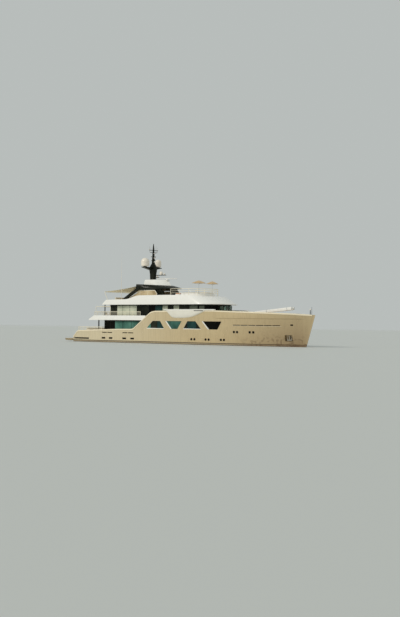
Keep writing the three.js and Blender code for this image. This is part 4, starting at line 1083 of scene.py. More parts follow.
sun_lower = [(-17.9, 0.0), (-17.9, 3.2), (-17.7, 4.2), (-17.1, 4.88), (3.0, 4.95), (6.69, 4.905)]
sun_lower = rounded(sun_lower, 0.25) + round_front(6.7, 4.5, 4.9)
sun_upper = [(-15.75, 0.0), (-15.75, 3.0), (-15.6, 3.95), (-15.1, 4.62), (0.0, 4.75), (4.29, 4.605)]
sun_upper = rounded(sun_upper, 0.25) + round_front(4.3, 3.5, 4.6)
sun_levels = [
    (moved_in(sun_lower, 0.12), 7.27), (moved_in(sun_lower, 0.02), 7.28), (sun_lower, 7.31), (sun_lower, 7.4),
]
for share in (0.25, 0.5, 0.75, 1.0):
    swell = 0.05 * math.sin(math.pi * share)
    sun_levels.append((moved_in(part_way(sun_lower, sun_upper, share), -swell), lerp(7.43, 9.1, share)))
sun_moulding = joined("sun_deck_moulding", [tier(sun_levels)])
above_sun = rounded([(-20, 8.2), (-10.4, 8.33), (-7.8, 9.02), (0, 9.05), (8.2, 8.86), (12, 8.8)], 0.5)
above_sun += [(12, 12), (-20, 12)]
cut(sun_moulding, joined("above_sun_deck", [side_prism(above_sun, -8, 8)]))
sun_well = rounded([(-15.9, 0.0), (-15.9, 3.1), (-15.7, 3.85), (-15.2, 4.45), (-0.6, 4.5), (-0.6, 0.0)], 0.4)
cut(sun_moulding, joined("sun_well", [plan_prism(mirrored(sun_well), 7.85, 10)]))
soften(sun_moulding, 0.05, 3, 34)
fit(smooth(sun_moulding, 40), white_paint, "sun_deck")

# Hardtop
# A dark hardtop shades the sun deck, carried each side on an arch of two raked legs and drawn out forward
# into a thin visor.
roof_lower = rounded([(-9.15, 0.0), (-9.15, 3.8), (-7.4, 3.6), (-5.7, 3.1), (-4.2, 2.5), (-2.8, 1.8)], 0.3)
roof_lower += [(-2.1, 1.42), (-1.6, 1.0), (-1.15, 0.5), (-0.9, 0.0)]
roof_upper = rounded([(-9.15, 0.0), (-9.15, 3.75), (-7.8, 3.5), (-7.0, 3.0), (-6.3, 2.45), (-5.6, 1.8)], 0.3)
roof_upper += [(-5.22, 1.42), (-4.9, 1.0), (-4.45, 0.5), (-4.2, 0.0)]
roof_levels = [(moved_in(roof_lower, 0.06), 10.06), (roof_lower, 10.1), (roof_lower, 10.45)]
for share in (0.2, 0.4, 0.6, 0.8, 0.95, 1.0):
    plan = part_way(roof_lower, roof_upper, share)
    roof_levels.append((moved_in(plan, -0.06 * math.sin(math.pi * share)), lerp(10.45, 11.25, share)))
roof = joined("hardtop_roof", [tier(roof_levels)])
roof_above = [(-12, 11.34), (-9.16, 11.22), (-3.9, 11.0), (0, 10.84), (0, 13), (-12, 13)]
roof_below = [(-12, 9), (-12, 10.12), (-5.4, 10.12), (-3.4, 10.33), (0, 10.36), (0, 9)]
for outline in (roof_above, roof_below):
    cut(roof, joined("roof_cut", [side_prism(outline, -6, 6)]))
leg_foot = 7.855
aft_leg = [
    (-9.15, 10.8), (-9.15, 10.4), (-12.3, 8.62), (-13.0, leg_foot), (-11.8, leg_foot), (-11.45, 8.5),
    (-8.6, 10.05), (-8.2, 10.3), (-8.2, 10.8),
]
fore_leg = [
    (-5.85, 10.4), (-5.75, 10.15), (-4.75, 9.3), (-4.6, leg_foot), (-3.1, leg_foot), (-3.15, 9.25),
    (-3.55, 9.9), (-4.15, 10.4),
]
for corners, near, far in ((aft_leg, 3.4, 3.76), (fore_leg, 2.05, 2.41)):
    outline = rounded(corners, 0.35, closed=True)
    for y0, y1 in ((-far, -near), (near, far)):
        cut(roof, joined("leg", [side_prism(outline, y0, y1)]), "UNION")
soften(roof, 0.04, 3, 34)
fit(smooth(roof, 40), dark_paint, "hardtop")

# Fairing, radar, mast and domes
# A white fairing on the hardtop carries the dark mast, the radar and the navigation gear. Two white satellite
# domes stand on the mast's arm, the starboard one larger, as on the real yacht.
fairing_lower = rounded([(-8.8, 0.0), (-8.8, 2.3), (-5.4, 2.2), (-4.0, 1.0), (-3.3, 0.0)], 0.5)
fairing_upper = rounded([(-8.7, 0.0), (-8.7, 2.0), (-6.3, 1.7), (-5.1, 0.9), (-4.4, 0.0)], 0.5)
fairing_levels = [(fairing_lower, 10.85)]
for share, inset in ((0.3, 0.0), (0.6, 0.0), (0.85, 0.0), (0.96, 0.04), (1.0, 0.14)):
    plan = part_way(fairing_lower, fairing_upper, share)
    fairing_levels.append((moved_in(plan, inset), lerp(10.85, 12.15, share)))
add("radar_fairing_shell", [tier(fairing_levels)], white_paint, 40, "radar_fairing")
radar_x = -4.5
shelf = rounded([(-6.4, -0.5), (-4.1, -0.4), (-4.1, 0.4), (-6.4, 0.5)], 0.25, closed=True)
radar_post = [tube([(radar_x, 0, 11.0), (radar_x, 0, 12.17)], 0.3, 32, 0.17), plan_prism(shelf, 11.95, 12.1)]
add("radar_post", radar_post, white_paint, 40, soft=0.02)
# the scanner bar is a slim closed box with rounded ends, parked across the ship at 40 degrees
scanner = [turned([(0.115, 12.185), (0.13, 12.2), (0.13, 12.25), (0.1, 12.29)], (radar_x, 0, 0), 32)]
park_cos, park_sin = math.cos(math.radians(40)), math.sin(math.radians(40))
for long, wide, low, high in ((1.9, 0.085, 12.285, 12.435), (0.35, 0.1, 12.27, 12.3)):
    outline = rounded(corners_of((-long, long), (-wide, wide)), 0.07, closed=True)
    parked = [(x * park_cos - y * park_sin + radar_x, x * park_sin + y * park_cos) for x, y in outline]
    scanner.append(plan_prism(parked, low, high))
radar_fit = {"soft": 0.02, "segments": 3, "body": "radar_scanner", "slot": "radar_plastic"}
add("radar_bar", scanner, white_paint, 40, "radar_scanner", **radar_fit)


def dome_profile(radius, tall):
    shoulder = tall - radius
    arc = [math.pi / 2 * k / 12 for k in range(12)]
    top = [(radius * math.cos(t), shoulder + radius * math.sin(t)) for t in arc] + [(0.02, tall)]
    return [(radius * 0.6, -0.02), (radius * 0.82, 0.0), (radius * 0.93, 0.05), (radius * 0.985, 0.14)] + top


dome_plastic = weathered(
    "dome_gelcoat", "radar_plastic", {"Coat Weight": 0.35, "Coat Roughness": 0.12},
    (248, 238, 224), (190, 176, 156), 0.35, 0.3, 0.8, 0.35,
)
dome_y = 1.96
for name, x, y, radius, tall in (("starboard", -8.45, -dome_y, 0.78, 1.6), ("port", -8.65, dome_y, 0.6, 1.5)):
    foot = (x, y, 14.742)
    seam = tall - radius
    band = [(0.99, seam - 0.03), (1.012, seam - 0.02), (1.012, seam + 0.02), (0.99, seam + 0.03)]
    parts = [
        turned(dome_profile(radius, tall), foot, 48),
        turned([(0.28, -0.12), (0.28, 0.02)], foot, 24),
        turned([(radius * share, z) for share, z in band], foot, 48),
    ]
    add(f"satellite_dome_{name}", parts, dome_plastic, 40, f"radome_{name}")

mast_x, arm_top = -8.15, 14.62


def mast_ring(half_x, half_y, z):
    corners = corners_of((-half_x, half_x), (-half_y, half_y))
    return [(mast_x + x, y, z) for x, y in rounded(corners, min(half_x, half_y) * 0.7, closed=True, steps=4)]


def arm_ring(y, low):
    corners = [(-8.95, low), (-8.95, arm_top), (mast_x, arm_top), (mast_x, low)]
    return [(x, y, z) for x, z in rounded(corners, 0.05, closed=True, steps=3)]


# the pylon and the spar over it as (half length, half width, height), the arm as (y, height of its underside)
pylon = [(0.55, 0.42, 12.152), (0.6, 0.45, 13.3), (0.72, 0.5, 14.0), (0.72, 0.5, 14.6), (0.3, 0.3, 15.3)]
spar = [(0.3, 0.28, 15.0), (0.2, 0.2, 16.6), (0.14, 0.14, 18.2), (0.05, 0.05, 19.15)]
arm = [(-2.5, 14.5), (-0.3, 14.05), (0.3, 14.05), (2.5, 14.5)]
mast_parts = [loft([mast_ring(*ring) for ring in rings]) for rings in (pylon, spar)]
mast_parts.append(loft([arm_ring(*ring) for ring in arm]))
mast_parts.append(block((-7.7, -4.9), (-0.22, 0.22), (12.98, 13.08)))
mast_parts.append(block((-7.7, -6.7), (-0.2, 0.2), (12.55, 12.65)))
# crosstrees with the lamps, aerial feet and the halyard blocks at their ends
end_lamp = [(0.05, 0), (0.075, 0.02), (0.075, 0.12), (0.02, 0.16)]
masthead_lamp = [(0.09, 0), (0.1, 0.02), (0.1, 0.17), (0.03, 0.22)]
mast_lamps = []
for half, z in ((1.15, 17.88), (0.8, 17.42), (0.62, 16.6), (0.5, 15.9)):
    mast_parts.append(tube([(mast_x, -half, z), (mast_x, half, z)], 0.05, 10))
    for y in (-half, half):
        mast_parts.append(turned([(0.07, 0), (0.07, 0.03), (0.03, 0.05)], (mast_x, y, z + 0.03), 12))
        mast_lamps.append(turned(end_lamp, (mast_x, y, z + 0.06), 16))
for x, z in ((0.2, 15.5), (0.17, 16.25), (0.14, 17.1)):
    mast_parts.append(block((mast_x, mast_x + x + 0.2), (-0.09, 0.09), (z, z + 0.05)))
    mast_lamps.append(turned(masthead_lamp, (mast_x + x + 0.1, 0, z + 0.05), 20))
for y, tall in ((-1.1, 0.75), (-0.72, 0.5), (0.72, 0.9), (1.1, 0.55)):
    mast_parts.append(tube([(mast_x, y, 17.45), (mast_x, y, 17.9 + tall)], 0.018, 8, 0.008))
for x, y in ((-8.45, -dome_y), (-8.65, dome_y)):
    mast_parts.append(turned([(0.36, -0.14), (0.36, -0.1), (0.3, -0.08)], (x, y, 14.76), 24))
add("mast_pylon", mast_parts, dark_paint, 45, "mast", soft=0.012)
navigation = [turned(dome_profile(0.33, 0.68), (-6.05, 0, 13.09), 40), *mast_lamps]
navigation.append(turned(dome_profile(0.17, 0.3), (-5.2, 0, 13.09), 28))
navigation.append(turned(dome_profile(0.15, 0.34), (-7.0, 0.0, 12.66), 28))
add("navigation_domes", navigation, dome_plastic, 45)

# Parasols and awning
# Two round canvas parasols stand over the spa pool's pads, and an awning is stretched from the hardtop
# to a bar on two raked poles over the aft sun deck.
weave, given, result = new_group(
    "woven_canvas",
    {"Thread": 0.0012, "Cloth": (0.7, 0.6, 0.45, 1), "Shade": (0.5, 0.4, 0.3, 1)},
    ["Color", "Height"],
)
spot = object_spot(weave)
count = maths(weave, "DIVIDE", 0.16, given["Thread"])
threads = []
for way in "XY":
    wave = node(weave, "TexWave", {"Vector": spot, "Scale": count}, bands_direction=way)
    threads.append(wave.outputs["Fac"])
link(weave, result, {
    "Height": maths(weave, "MAXIMUM", *threads),
    "Color": blend(weave, noise(weave, spot, 3.0, 5.0), given["Cloth"], given["Shade"]),
})


def canvas(name, cloth, shade):
    made, tree, shader = paint(name, {"Roughness": 0.85, "Sheen Weight": 0.3})
    woven = node(tree, "Group", {"Cloth": rgb(*cloth), "Shade": rgb(*shade)}, node_tree=weave).outputs
    link(tree, shader, {"Base Color": woven["Color"], "Normal": relief(tree, woven["Height"], 0.3, 0.002)})
    return made


def cloth_between(rows, thick=0.006):
    """A thin sheet through rows of places, with a back face a little below it"""
    top = [p for row in rows for p in row]
    low = [(x, y, z - thick) for x, y, z in top]
    wide, long = len(rows[0]), len(rows)
    faces = []
    for i in range(long - 1):
        for k in range(wide - 1):
            a = i * wide + k
            quad = (a, a + 1, a + wide + 1, a + wide)
            faces.append(quad)
            faces.append(tuple(n + len(top) for n in reversed(quad)))
    rim = list(range(wide)) + [i * wide + wide - 1 for i in range(1, long)]
    rim += [(long - 1) * wide + k for k in range(wide - 2, -1, -1)]
    rim += [i * wide for i in range(long - 2, 0, -1)]
    for a, b in zip(rim, rim[1:] + rim[:1]):
        faces.append((b, a, a + len(top), b + len(top)))
    return top + low, faces


# painted light: the awning's cloth is paler than the parasols' to stand for daylight shining through it
awning_canvas = canvas("awning_canvas", (255, 246, 206), (255, 232, 184))
parasol_canvas = canvas("parasol_canvas", (214, 184, 138), (196, 164, 118))
awning_rows = []
for i in range(25):
    share = i / 24
    arch = math.sin(math.pi * share)
    x = lerp(-17.24, -9.17, share)
    half = lerp(4.1, 3.42, share) - 0.34 * arch
    row = []
    for k in range(25):
        across = lerp(-1, 1, k / 24)
        edge_in = 0.16 * (1 - across * across) * (1 - share) ** 3
        sag = 0.12 * arch * (1 - 0.45 * across * across)
        row.append((x + edge_in, half * across, lerp(9.875, 10.86, share) - sag))
    awning_rows.append(row)
awning = add("aft_awning", [cloth_between(awning_rows)], awning_canvas, 60, "sun_awning")

parasol_x, crown, spokes = 5.1, 11.72, 8
for name, y, radius in (("starboard", -1.93, 1.3), ("port", 1.93, 1.15)):
    rows = []
    for i in range(9):
        share = i / 8
        row = []
        for k in range(spokes * 6 + 1):
            turn = 2 * math.pi * k / (spokes * 6)
            slack = abs(math.sin(turn * spokes / 2)) ** 1.5
            reach = (0.05 + (radius - 0.05) * share) * (1 - 0.045 * slack * share)
            drop = 0.46 * share ** 1.25 + 0.05 * slack * share
            row.append((parasol_x + reach * math.cos(turn), y + reach * math.sin(turn), crown - drop))
        rows.append(row)
    canopy = add(f"parasol_canopy_{name}", [cloth_between(rows)], parasol_canvas, 30, f"parasol_{name}")
    ribs = [tube([(parasol_x, y, 9.43), (parasol_x, y, crown + 0.08)], 0.03, 12)]
    ribs.append(turned([(0.28, 0), (0.28, 0.06), (0.06, 0.09), (0.05, 0.3)], (parasol_x, y, 9.425), 24))
    for turn in turns(spokes):
        for start, far, end, thick in ((0.03, 0.98, 0.475, 0.012), (0.75, 0.5, 0.23, 0.01)):
            tip_x, tip_y = radius * far * math.cos(turn), radius * far * math.sin(turn)
            ends = [(parasol_x, y, crown - start), (parasol_x + tip_x, y + tip_y, crown - end)]
            ribs.append(tube(ends, thick, 6))
    stand = add(f"parasol_stand_{name}", ribs, steel, 50)

# Wind screens and awning frame
# Between the legs of the hardtop stand cream-framed screens with drawn blinds. The awning's aft bar and
# its two poles are cream enamelled tube, footed on the bulwark.
screen_glass = glazing("blind_screen", (150, 128, 94), (216, 198, 162), folds=0.5, fold_width=0.2)
screen_edge = [(-11.9, 8.4), (-10.38, 8.95), (-8.33, 9.98), (-4.6, 9.98), (-4.1, 9.4), (-4.05, 8.4)]
screen_outline = screen_edge + [(-4.05, 7.86), (-11.9, 7.86)]
for name, side in SIDES.items():
    y = side * 3.3
    bars = [tube([(x, y, z) for x, z in screen_edge], 0.06, 10)]
    for x, top in ((-10.4, 8.9), (-8.4, 9.9), (-6.4, 9.98)):
        bars.append(tube([(x, y, 7.86), (x, y, top)], 0.045, 10))
    add(f"screen_frame_{name}", bars, rail_paint, 50)
    add(f"wind_screen_{name}", [side_prism(screen_outline, y - 0.02, y + 0.02)], screen_glass)
bar_x, bar_z = -17.2, 9.8155
awning_bar = [tube([(bar_x, -4.12, bar_z), (bar_x, 4.12, bar_z)], 0.045, 20)]
for side in SIDES.values():
    awning_bar.append(tube([(-16.45, side * 4.0, 8.24), (bar_x, side * 4.1, bar_z)], 0.045, 12))
    awning_bar.append(turned([(0.11, 0), (0.11, 0.03), (0.06, 0.06)], (-16.49, side * 4.005, 8.24), 16))
add("awning_frame_tubes", awning_bar, rail_paint, 50, "sun_awning_frame")

# Stern
# The swim platform is one moulding with a rubber fender round it. The transom above it is a door hinged along
# its head; its leaf has a raised field and a pull at each side.
fittings_paint = weathered(
    "champagne_fittings", "hull_paint", {"Metallic": 0.1, "Coat Weight": 0.1},
    (222, 202, 162), (150, 124, 84), 0.4, 0.4, 0.6, 0.45,
)
platform_half = rounded([(-28.7, 0.0), (-28.7, 3.75), (-28.0, 4.45), (-25.42, 4.45)], 0.35)
platform_levels = [(0.25, 0.22), (0.03, 0.3), (0.0, 0.36), (0.0, 0.54), (0.03, 0.58), (0.06, 0.598)]
platform = tier([(moved_in(platform_half, inset), z) for inset, z in platform_levels])
add("swim_platform_moulding", [platform], fittings_paint, 45, "swim_platform")
fender_line = [(x, y, 0.45) for x, y in reversed(platform_half)]
fender_line += [(x, -y, 0.45) for x, y in platform_half[1:]]
fender = swept(fender_line, [(0, -0.06), (0.05, -0.05), (0.065, 0), (0.05, 0.05), (0, 0.06)])
add("platform_fender", [fender], trim_dark, 50)
on_door = {"body": "transom_door"}
leaf = transom_panel(2.7, 1.06, 2.06, 0.0, 0.12)
add("transom_door_leaf", [leaf], fittings_paint, 35, "transom_door", soft=0.02, **on_door)
add("transom_door_field", [transom_panel(2.4, 1.2, 1.9, -0.02, 0.03)], fittings_paint, soft=0.015, **on_door)
hinge_x, hinge_z = transom_point(2.06, 0.0)
pulls = [tube([(hinge_x, -2.79, hinge_z), (hinge_x, 2.79, hinge_z)], 0.045, 16)]
(x0, z0), (x1, z1) = transom_point(1.3, -0.07), transom_point(1.36, -0.02)
for y in (-1.9, 1.9):
    grip = [(x1, y - 0.25, z1), (x0, y - 0.22, z0), (x0, y + 0.22, z0), (x1, y + 0.25, z1)]
    pulls.append(tube(grip, 0.02, 10))
add("transom_door_pulls", pulls, steel, 50, **on_door)

# Sliding doors
# Each deckhouse is closed aft by framed glass leaves that slide along a track, two below and one above.
sliding_doors = [
    ("main_door_starboard", (-17.38, -17.31), (-1.8, -0.01), (1.87, 4.079)),
    ("main_door_port", (-17.38, -17.31), (0.01, 1.8), (1.87, 4.079)),
    ("upper_door", (-16.03, -15.96), (-1.15, 1.15), (4.87, 7.059)),
]
for name, (x0, x1), (y0, y1), (z0, z1) in sliding_doors:
    inside = block((x0 + 0.02, x1 - 0.02), (y0 + 0.05, y1 - 0.05), (z0 + 0.07, z1 - 0.07))
    fit(soften(joined(f"{name}_pane", [inside]), 0.006), panes["dark"], name, body=name)
    bars = [block((x0, x1), (y, y + 0.07), (z0, z1)) for y in (y0, y1 - 0.07)]
    bars += [block((x0, x1), (y0, y1), (z, z + 0.09)) for z in (z0, z1 - 0.09)]
    add(f"{name}_frame", bars, trim_dark, soft=0.01, body=name)
    pull_y = y1 - 0.14 if y1 < 0.5 else y0 + 0.14
    pull = [(0.01, 0.8), (-0.04, 0.83), (-0.04, 1.3), (0.01, 1.33)]
    add(f"{name}_pull", [tube([(x0 + x, pull_y, z0 + z) for x, z in pull], 0.016, 10)], steel, 50, body=name)

# Foredeck
# A moulded locker and the crane's pedestal stand on the foredeck, with the windlass, bollards and two hatches
# before them. The crane slews on its pedestal and its boom, a box that widens forward, lifts on a pin.
foredeck_z, crane_x, pin_z = 4.853, 17, 5.9
locker_low = rounded([(11.5, 0.0), (11.5, 1.5), (14.6, 1.2), (14.9, 0.7)], 0.2)
locker_high = rounded([(11.6, 0.0), (11.6, 1.35), (14.4, 1.05), (14.65, 0.6)], 0.2)
pedestal = [(0.42, foredeck_z), (0.44, 4.9), (0.4, 5.0), (0.38, 5.3), (0.4, 5.42), (0.4, 5.45)]
locker = [
    tier([(locker_low, foredeck_z), (locker_high, 5.36), (moved_in(locker_high, 0.05), 5.37)]),
    tier([(locker_high, 5.385), (locker_high, 5.43), (moved_in(locker_high, 0.04), 5.45)]),
    block((14.5, 17.2), (-0.45, 0.45), (foredeck_z, 5.0)),
    turned(pedestal, (crane_x, 0, 0), 40),
]
add("foredeck_locker_moulding", locker, white_paint, 40, "foredeck_locker", soft=0.02)
cheek = rounded([(16.7, 5.462), (17.3, 5.462), (17.24, 6.1), (16.76, 6.1)], 0.14, closed=True)
turret = [turned([(0.4, 0), (0.4, 0.07), (0.36, 0.108)], (crane_x, 0, 5.452), 40)]
turret.append(tube([(crane_x, -0.42, pin_z), (crane_x, 0.42, pin_z)], 0.058, 20))
turret += [side_prism(cheek, y, y + 0.1) for y in (-0.39, 0.29)]
add("crane_turret_casting", turret, white_paint, 45, "crane_turret", soft=0.012, body="crane_turret")
rise_cos, rise_sin = math.cos(math.radians(5.2)), math.sin(math.radians(5.2))


def boom_ring(reach, half):
    ring = rounded(corners_of((-half, half), (-half, half)), half * 0.5, closed=True, steps=4)
    foot_x, foot_z = crane_x + reach * rise_cos, pin_z + reach * rise_sin
    return [(foot_x - z * rise_sin, y, foot_z + z * rise_cos) for y, z in ring]


def boom_length(rings):
    return loft([boom_ring(reach, half) for reach, half in rings])


boom = boom_length([(-0.25, 0.2), (0.3, 0.24), (7.55, 0.295), (7.6, 0.28)])
add("crane_boom_box", [boom], white_paint, 45, "crane_boom", body="crane_boom")
boom_tip = [boom_length([(7.5, 0.23), (7.95, 0.22), (8.03, 0.16)])]
for reach in (2.2, 6.6):
    half = 0.27 + reach * 0.004
    boom_tip.append(boom_length([(reach, half), (reach + 0.09, half)]))
tip_x, _, tip_z = boom_ring(7.8, 0.1)[0]
boom_tip.append(tube([(tip_x, -0.16, tip_z - 0.12), (tip_x, 0.16, tip_z - 0.12)], 0.1, 20))
add("crane_boom_tip", boom_tip, steel, 45, body="crane_boom")
# the windlass shaft's drums and flanges, each from y to y with its radius
drums = ((0.35, 0.42, 0.24), (0.42, 0.56, 0.16), (0.56, 0.63, 0.24), (0.63, 0.95, 0.14), (0.95, 1.02, 0.22))
windlass = [block((23.8, 24.6), (-0.95, 0.95), (foredeck_z, 4.94))]
for side in SIDES.values():
    for y0, y1, radius in drums:
        windlass.append(tube([(24.2, side * y0, 5.15), (24.2, side * y1, 5.15)], radius, 24))
    windlass.append(side_block(side, (24.0, 24.4), (0.1, 0.34), (4.92, 5.3)))
add("anchor_windlass", windlass, steel, 45, "windlass", soft=0.015)
bollard = [(0.08, 0), (0.07, 0.05), (0.07, 0.28), (0.1, 0.31), (0.1, 0.35), (0.05, 0.37)]
bollards = []
aft_deck_z = 1.853
for x, deck in ((19.5, foredeck_z), (22.6, foredeck_z), (26.0, foredeck_z), (-22.9, aft_deck_z)):
    for side in SIDES.values():
        y = side * (half_breadth(x, deck) - 0.55)
        bollards.append(block((x - 0.32, x + 0.32), (y - 0.12, y + 0.12), (deck, deck + 0.04)))
        bollards += [turned(bollard, (x + shift, y, deck + 0.03), 20) for shift in (-0.2, 0.2)]
add("mooring_bollards", bollards, steel, 45)
hatch_rims = [block((19.6, 20.8), (-0.6, 0.6), (foredeck_z, 4.98))]
hatch_rims.append(block((21.6, 22.4), (-0.4, 0.4), (foredeck_z, 4.96)))
add("foredeck_hatch_rims", hatch_rims, white_paint, soft=0.04)
hatch_glass = [block((19.7, 20.7), (-0.5, 0.5), (4.97, 5.0))]
hatch_glass.append(block((21.67, 22.33), (-0.33, 0.33), (4.95, 4.98)))
fit(soften(joined("foredeck_hatch_glass", hatch_glass), 0.01), panes["black"])
staffs = [
    tube([(28.6, 0, 5.3), (28.6, 0, 6.85)], 0.035, 10, 0.02),
    tube([(28.3, 0, 5.3), (28.3, 0, 6.3)], 0.06, 12),
    turned([(0.09, 0), (0.1, 0.03), (0.06, 0.1)], (28.6, 0, 5.3), 16),
]
add("jackstaff", staffs, trim_dark, 50)
lamp = turned([(0.05, 0), (0.11, 0.05), (0.12, 0.14), (0.08, 0.22), (0.02, 0.25)], (28.3, 0, 6.3), 24)
add("anchor_light", [lamp], dome_plastic, 50)
whips = [
    tube([(-12.5, -4.25, 8.2), (-12.5, -4.25, 12.6)], 0.05, 10, 0.035),
    tube([(-12.5, -4.25, 12.6), (-12.5, -4.25, 17.2)], 0.03, 8, 0.012),
    tube([(-12.9, 4.25, 8.2), (-12.9, 4.25, 14.5)], 0.045, 10, 0.012),
]
add("whip_aerials", whips, dome_plastic, 50)

# Spa pool and furniture
# A moulded surround holds the round spa pool, with pads on it. Loose-cushioned sofas and tables furnish the
# aft decks and the shade of the hardtop.
pad_canvas = canvas("cushion_canvas", (240, 232, 214), (220, 208, 184))
warm_canvas = canvas("terracotta_canvas", (222, 150, 98), (200, 124, 78))
surround_low = rounded([(1.0, 0.0), (1.0, 2.6), (5.2, 2.3), (6.2, 1.4)], 0.25)
surround_high = rounded([(1.15, 0.0), (1.15, 2.45), (5.1, 2.15), (6.0, 1.3)], 0.25)
levels = [(surround_low, 8.86), (surround_high, 9.38), (moved_in(surround_high, 0.05), 9.42)]
surround = joined("spa_surround", [tier(levels)])
pool_at = (3.0, 0, 0)
cut(surround, joined("pool", [turned([(1.0, 9.15), (1.0, 10)], pool_at, 48)]))
fit(smooth(surround, 40), white_paint, "spa_pool")
rim = [(1.0, 9.4), (1.08, 9.4), (1.1, 9.44), (1.04, 9.47), (0.97, 9.45), (1.0, 9.4)]
add("spa_rim", [turned(rim, pool_at, 48, ends=False)], steel, 50)
water, tree, shader = paint("spa_water", {"Roughness": 0.03, "Specular IOR Level": 0.5})
ripple = noise(tree, None, 14.0, 2.0)
tint = blend(tree, ripple, rgb(96, 168, 176), rgb(148, 206, 208))
link(tree, shader, {"Base Color": tint, "Normal": relief(tree, ripple, 0.3, 0.01)})
add("pool_water", [turned([(0.99, 9.16), (0.99, 9.34), (0.6, 9.345), (0.05, 9.345)], pool_at, 48)], water, 40)


def cushion(xs, ys, zs, soft=0.06):
    """A stuffed block with rounded edges and a slightly crowned top"""
    outline = rounded(corners_of(xs, ys), soft * 1.5, closed=True, steps=3)
    mid_x, mid_y = (xs[0] + xs[1]) / 2, (ys[0] + ys[1]) / 2
    levels = [(1.0, 0.0), (0.3, 0.3), (0.0, 1.0), (0.0, -1.0), (0.3, -0.3), (1.0, 0.0), (2.6, 0.3)]
    rings = []
    for n, (inset, up) in enumerate(levels):
        in_x = 1 - 2 * inset * soft / (xs[1] - xs[0])
        in_y = 1 - 2 * inset * soft / (ys[1] - ys[0])
        z = (zs[0] if n < 3 else zs[1]) + up * soft
        rings.append([(mid_x + (x - mid_x) * in_x, mid_y + (y - mid_y) * in_y, z) for x, y in outline])
    return loft(rings)


def cushion_row(xs, starts, wide, zs):
    return [(xs, (y, y + wide), zs) for y in starts]


lounge_ys, aft_ys = (-3.2, -1.6, 0.1, 1.7), (-2.9, -1.45, 0.05, 1.5)
# name, canvas, and the cushions as (x0, x1), (y0, y1), (z0, z1)
pad_groups = [
    ("spa_pads", pad_canvas, [
        ((4.3, 5.9), (-0.95, -0.03), (9.425, 9.55)), ((4.3, 5.9), (0.03, 0.95), (9.425, 9.55)),
        ((1.35, 4.0), (1.15, 2.2), (9.425, 9.53)), ((1.35, 4.0), (-2.2, -1.15), (9.425, 9.53)),
    ]),
    ("raised_deck_cushions", warm_canvas, cushion_row((-0.5, 0.5), (-2.0, -1.0, 0.1, 1.1), 0.9, (9.3, 9.44))),
    ("lounge_cushions", pad_canvas, cushion_row((-15.2, -14.3), lounge_ys, 1.5, (8.2, 8.4))
        + cushion_row((-15.3, -15.0), lounge_ys, 1.5, (8.4, 8.75))),
    ("aft_deck_cushions", pad_canvas, cushion_row((-23.4, -22.5), aft_ys, 1.4, (2.2, 2.42))
        + cushion_row((-23.5, -23.2), aft_ys, 1.4, (2.42, 2.8))),
]
for name, cloth_paint, pads in pad_groups:
    add(name, [cushion(*pad) for pad in pads], cloth_paint, 60)
sun_floor, dining_floor, aft_floor = 7.855, 4.873, 1.873
bases = [
    block((-0.55, 0.55), (-2.05, 2.05), (9.03, 9.3)),
    block((-15.35, -14.25), (-3.25, 3.25), (sun_floor, 8.2)),
    block((-23.55, -22.45), (-2.95, 2.95), (aft_floor, 2.2)),
]
tables = (
    ((-13.2, -12.2), (-1.6, 1.6), sun_floor, 8.35),
    ((-19.0, -17.4), (-1.5, 1.5), dining_floor, 5.6),
    ((-21.6, -20.4), (-1.5, 1.5), aft_floor, 2.5),
)
for (x0, x1), (y0, y1), low, high in tables:
    bases.append(block((x0, x1), (y0, y1), (high - 0.05, high)))
    leg = [(0.26, 0), (0.26, 0.03), (0.06, 0.06), (0.06, high - low - 0.07), (0.2, high - low - 0.05)]
    bases += [turned(leg, ((x0 + x1) / 2, lerp(y0, y1, share), low), 20) for share in (0.22, 0.78)]
add("deck_furniture", bases, white_paint, 40, soft=0.02)
chairs, chair_frames = [], []
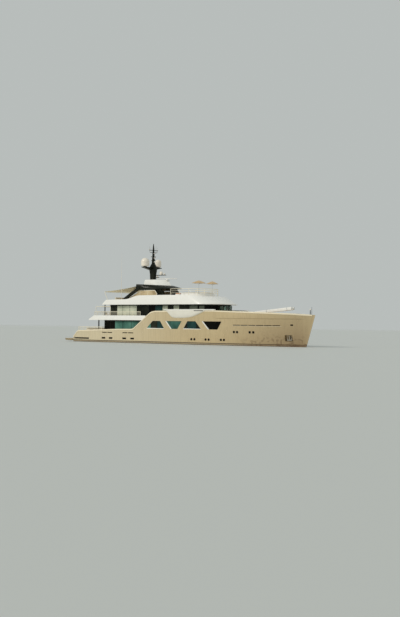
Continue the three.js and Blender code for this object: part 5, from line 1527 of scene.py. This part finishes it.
for x, facing in ((-19.5, 1), (-16.95, -1)):
    for y in (-1.1, 0.0, 1.1):
        chairs.append(cushion((x - 0.24, x + 0.24), (y - 0.25, y + 0.25), (5.3, 5.4), 0.035))
        back_x = x - facing * 0.24
        chairs.append(cushion((back_x - 0.04, back_x + 0.04), (y - 0.24, y + 0.24), (5.45, 5.85), 0.02))
        for leg_x in (x - 0.2, x + 0.2):
            for leg_y in (y - 0.21, y + 0.21):
                top = 5.82 if abs(leg_x - back_x) < 0.1 else 5.31
                chair_frames.append(tube([(leg_x, leg_y, dining_floor), (leg_x, leg_y, top)], 0.018, 8))
add("dining_chair_pads", chairs, pad_canvas, 60)
add("dining_chair_frames", chair_frames, steel, 50)

# Floor, light and camera
# A plain pale floor stands in for the water at the waterline, under soft studio light. The camera stands
# low and far off the starboard bow, as the photograph's did, with a long lens and a slight tilt.
floor_paint, tree, shader = paint("pale_floor", {"Roughness": 0.6})
speck = blend(tree, noise(tree, None, 0.4, 2.0), rgb(206, 210, 208), rgb(214, 216, 213))
link(tree, shader, {"Base Color": speck})
floor = joined("floor", [block((-3000, 3000), (-3000, 3000), (-0.4, 0))])
floor.data.materials.append(floor_paint)

scene = bpy.context.scene
scene.view_settings.view_transform = "Standard"
scene.world = bpy.data.worlds.new("studio")
scene.world.use_nodes = True
sky = scene.world.node_tree.nodes["Background"].inputs
sky["Color"].default_value = (0.80, 0.85, 0.83, 1)
sky["Strength"].default_value = 0.6

sun = bpy.data.lights.new("key_light", "SUN")
sun.energy = 1.3
sun.angle = math.radians(14)
sun.color = (1.0, 0.95, 0.86)
key = bpy.data.objects.new("key_light", sun)
key.rotation_euler = (Vector((-20, -72, 42))).to_track_quat("Z", "Y").to_euler()
scene.collection.objects.link(key)

lens = bpy.data.cameras.new("camera")
lens.lens = 58.35
lens.sensor_width = 36
lens.clip_end = 5000
camera = bpy.data.objects.new("camera", lens)
yaw, pitch, roll = math.radians(130.1114), math.radians(1.0588), math.radians(0.78)
ahead = Vector((math.cos(pitch) * math.cos(yaw), math.cos(pitch) * math.sin(yaw), math.sin(pitch)))
right = Vector((math.sin(yaw), -math.cos(yaw), 0))
up = right.cross(ahead)
turned_right = right * math.cos(roll) + up * math.sin(roll)
turned_up = up * math.cos(roll) - right * math.sin(roll)
pose = Matrix((turned_right, turned_up, -ahead)).transposed().to_4x4()
bearing, distance = math.radians(41), 94
pose.translation = (distance * math.sin(bearing), -distance * math.cos(bearing), 1.6)
camera.matrix_world = pose
scene.collection.objects.link(camera)
scene.camera = camera
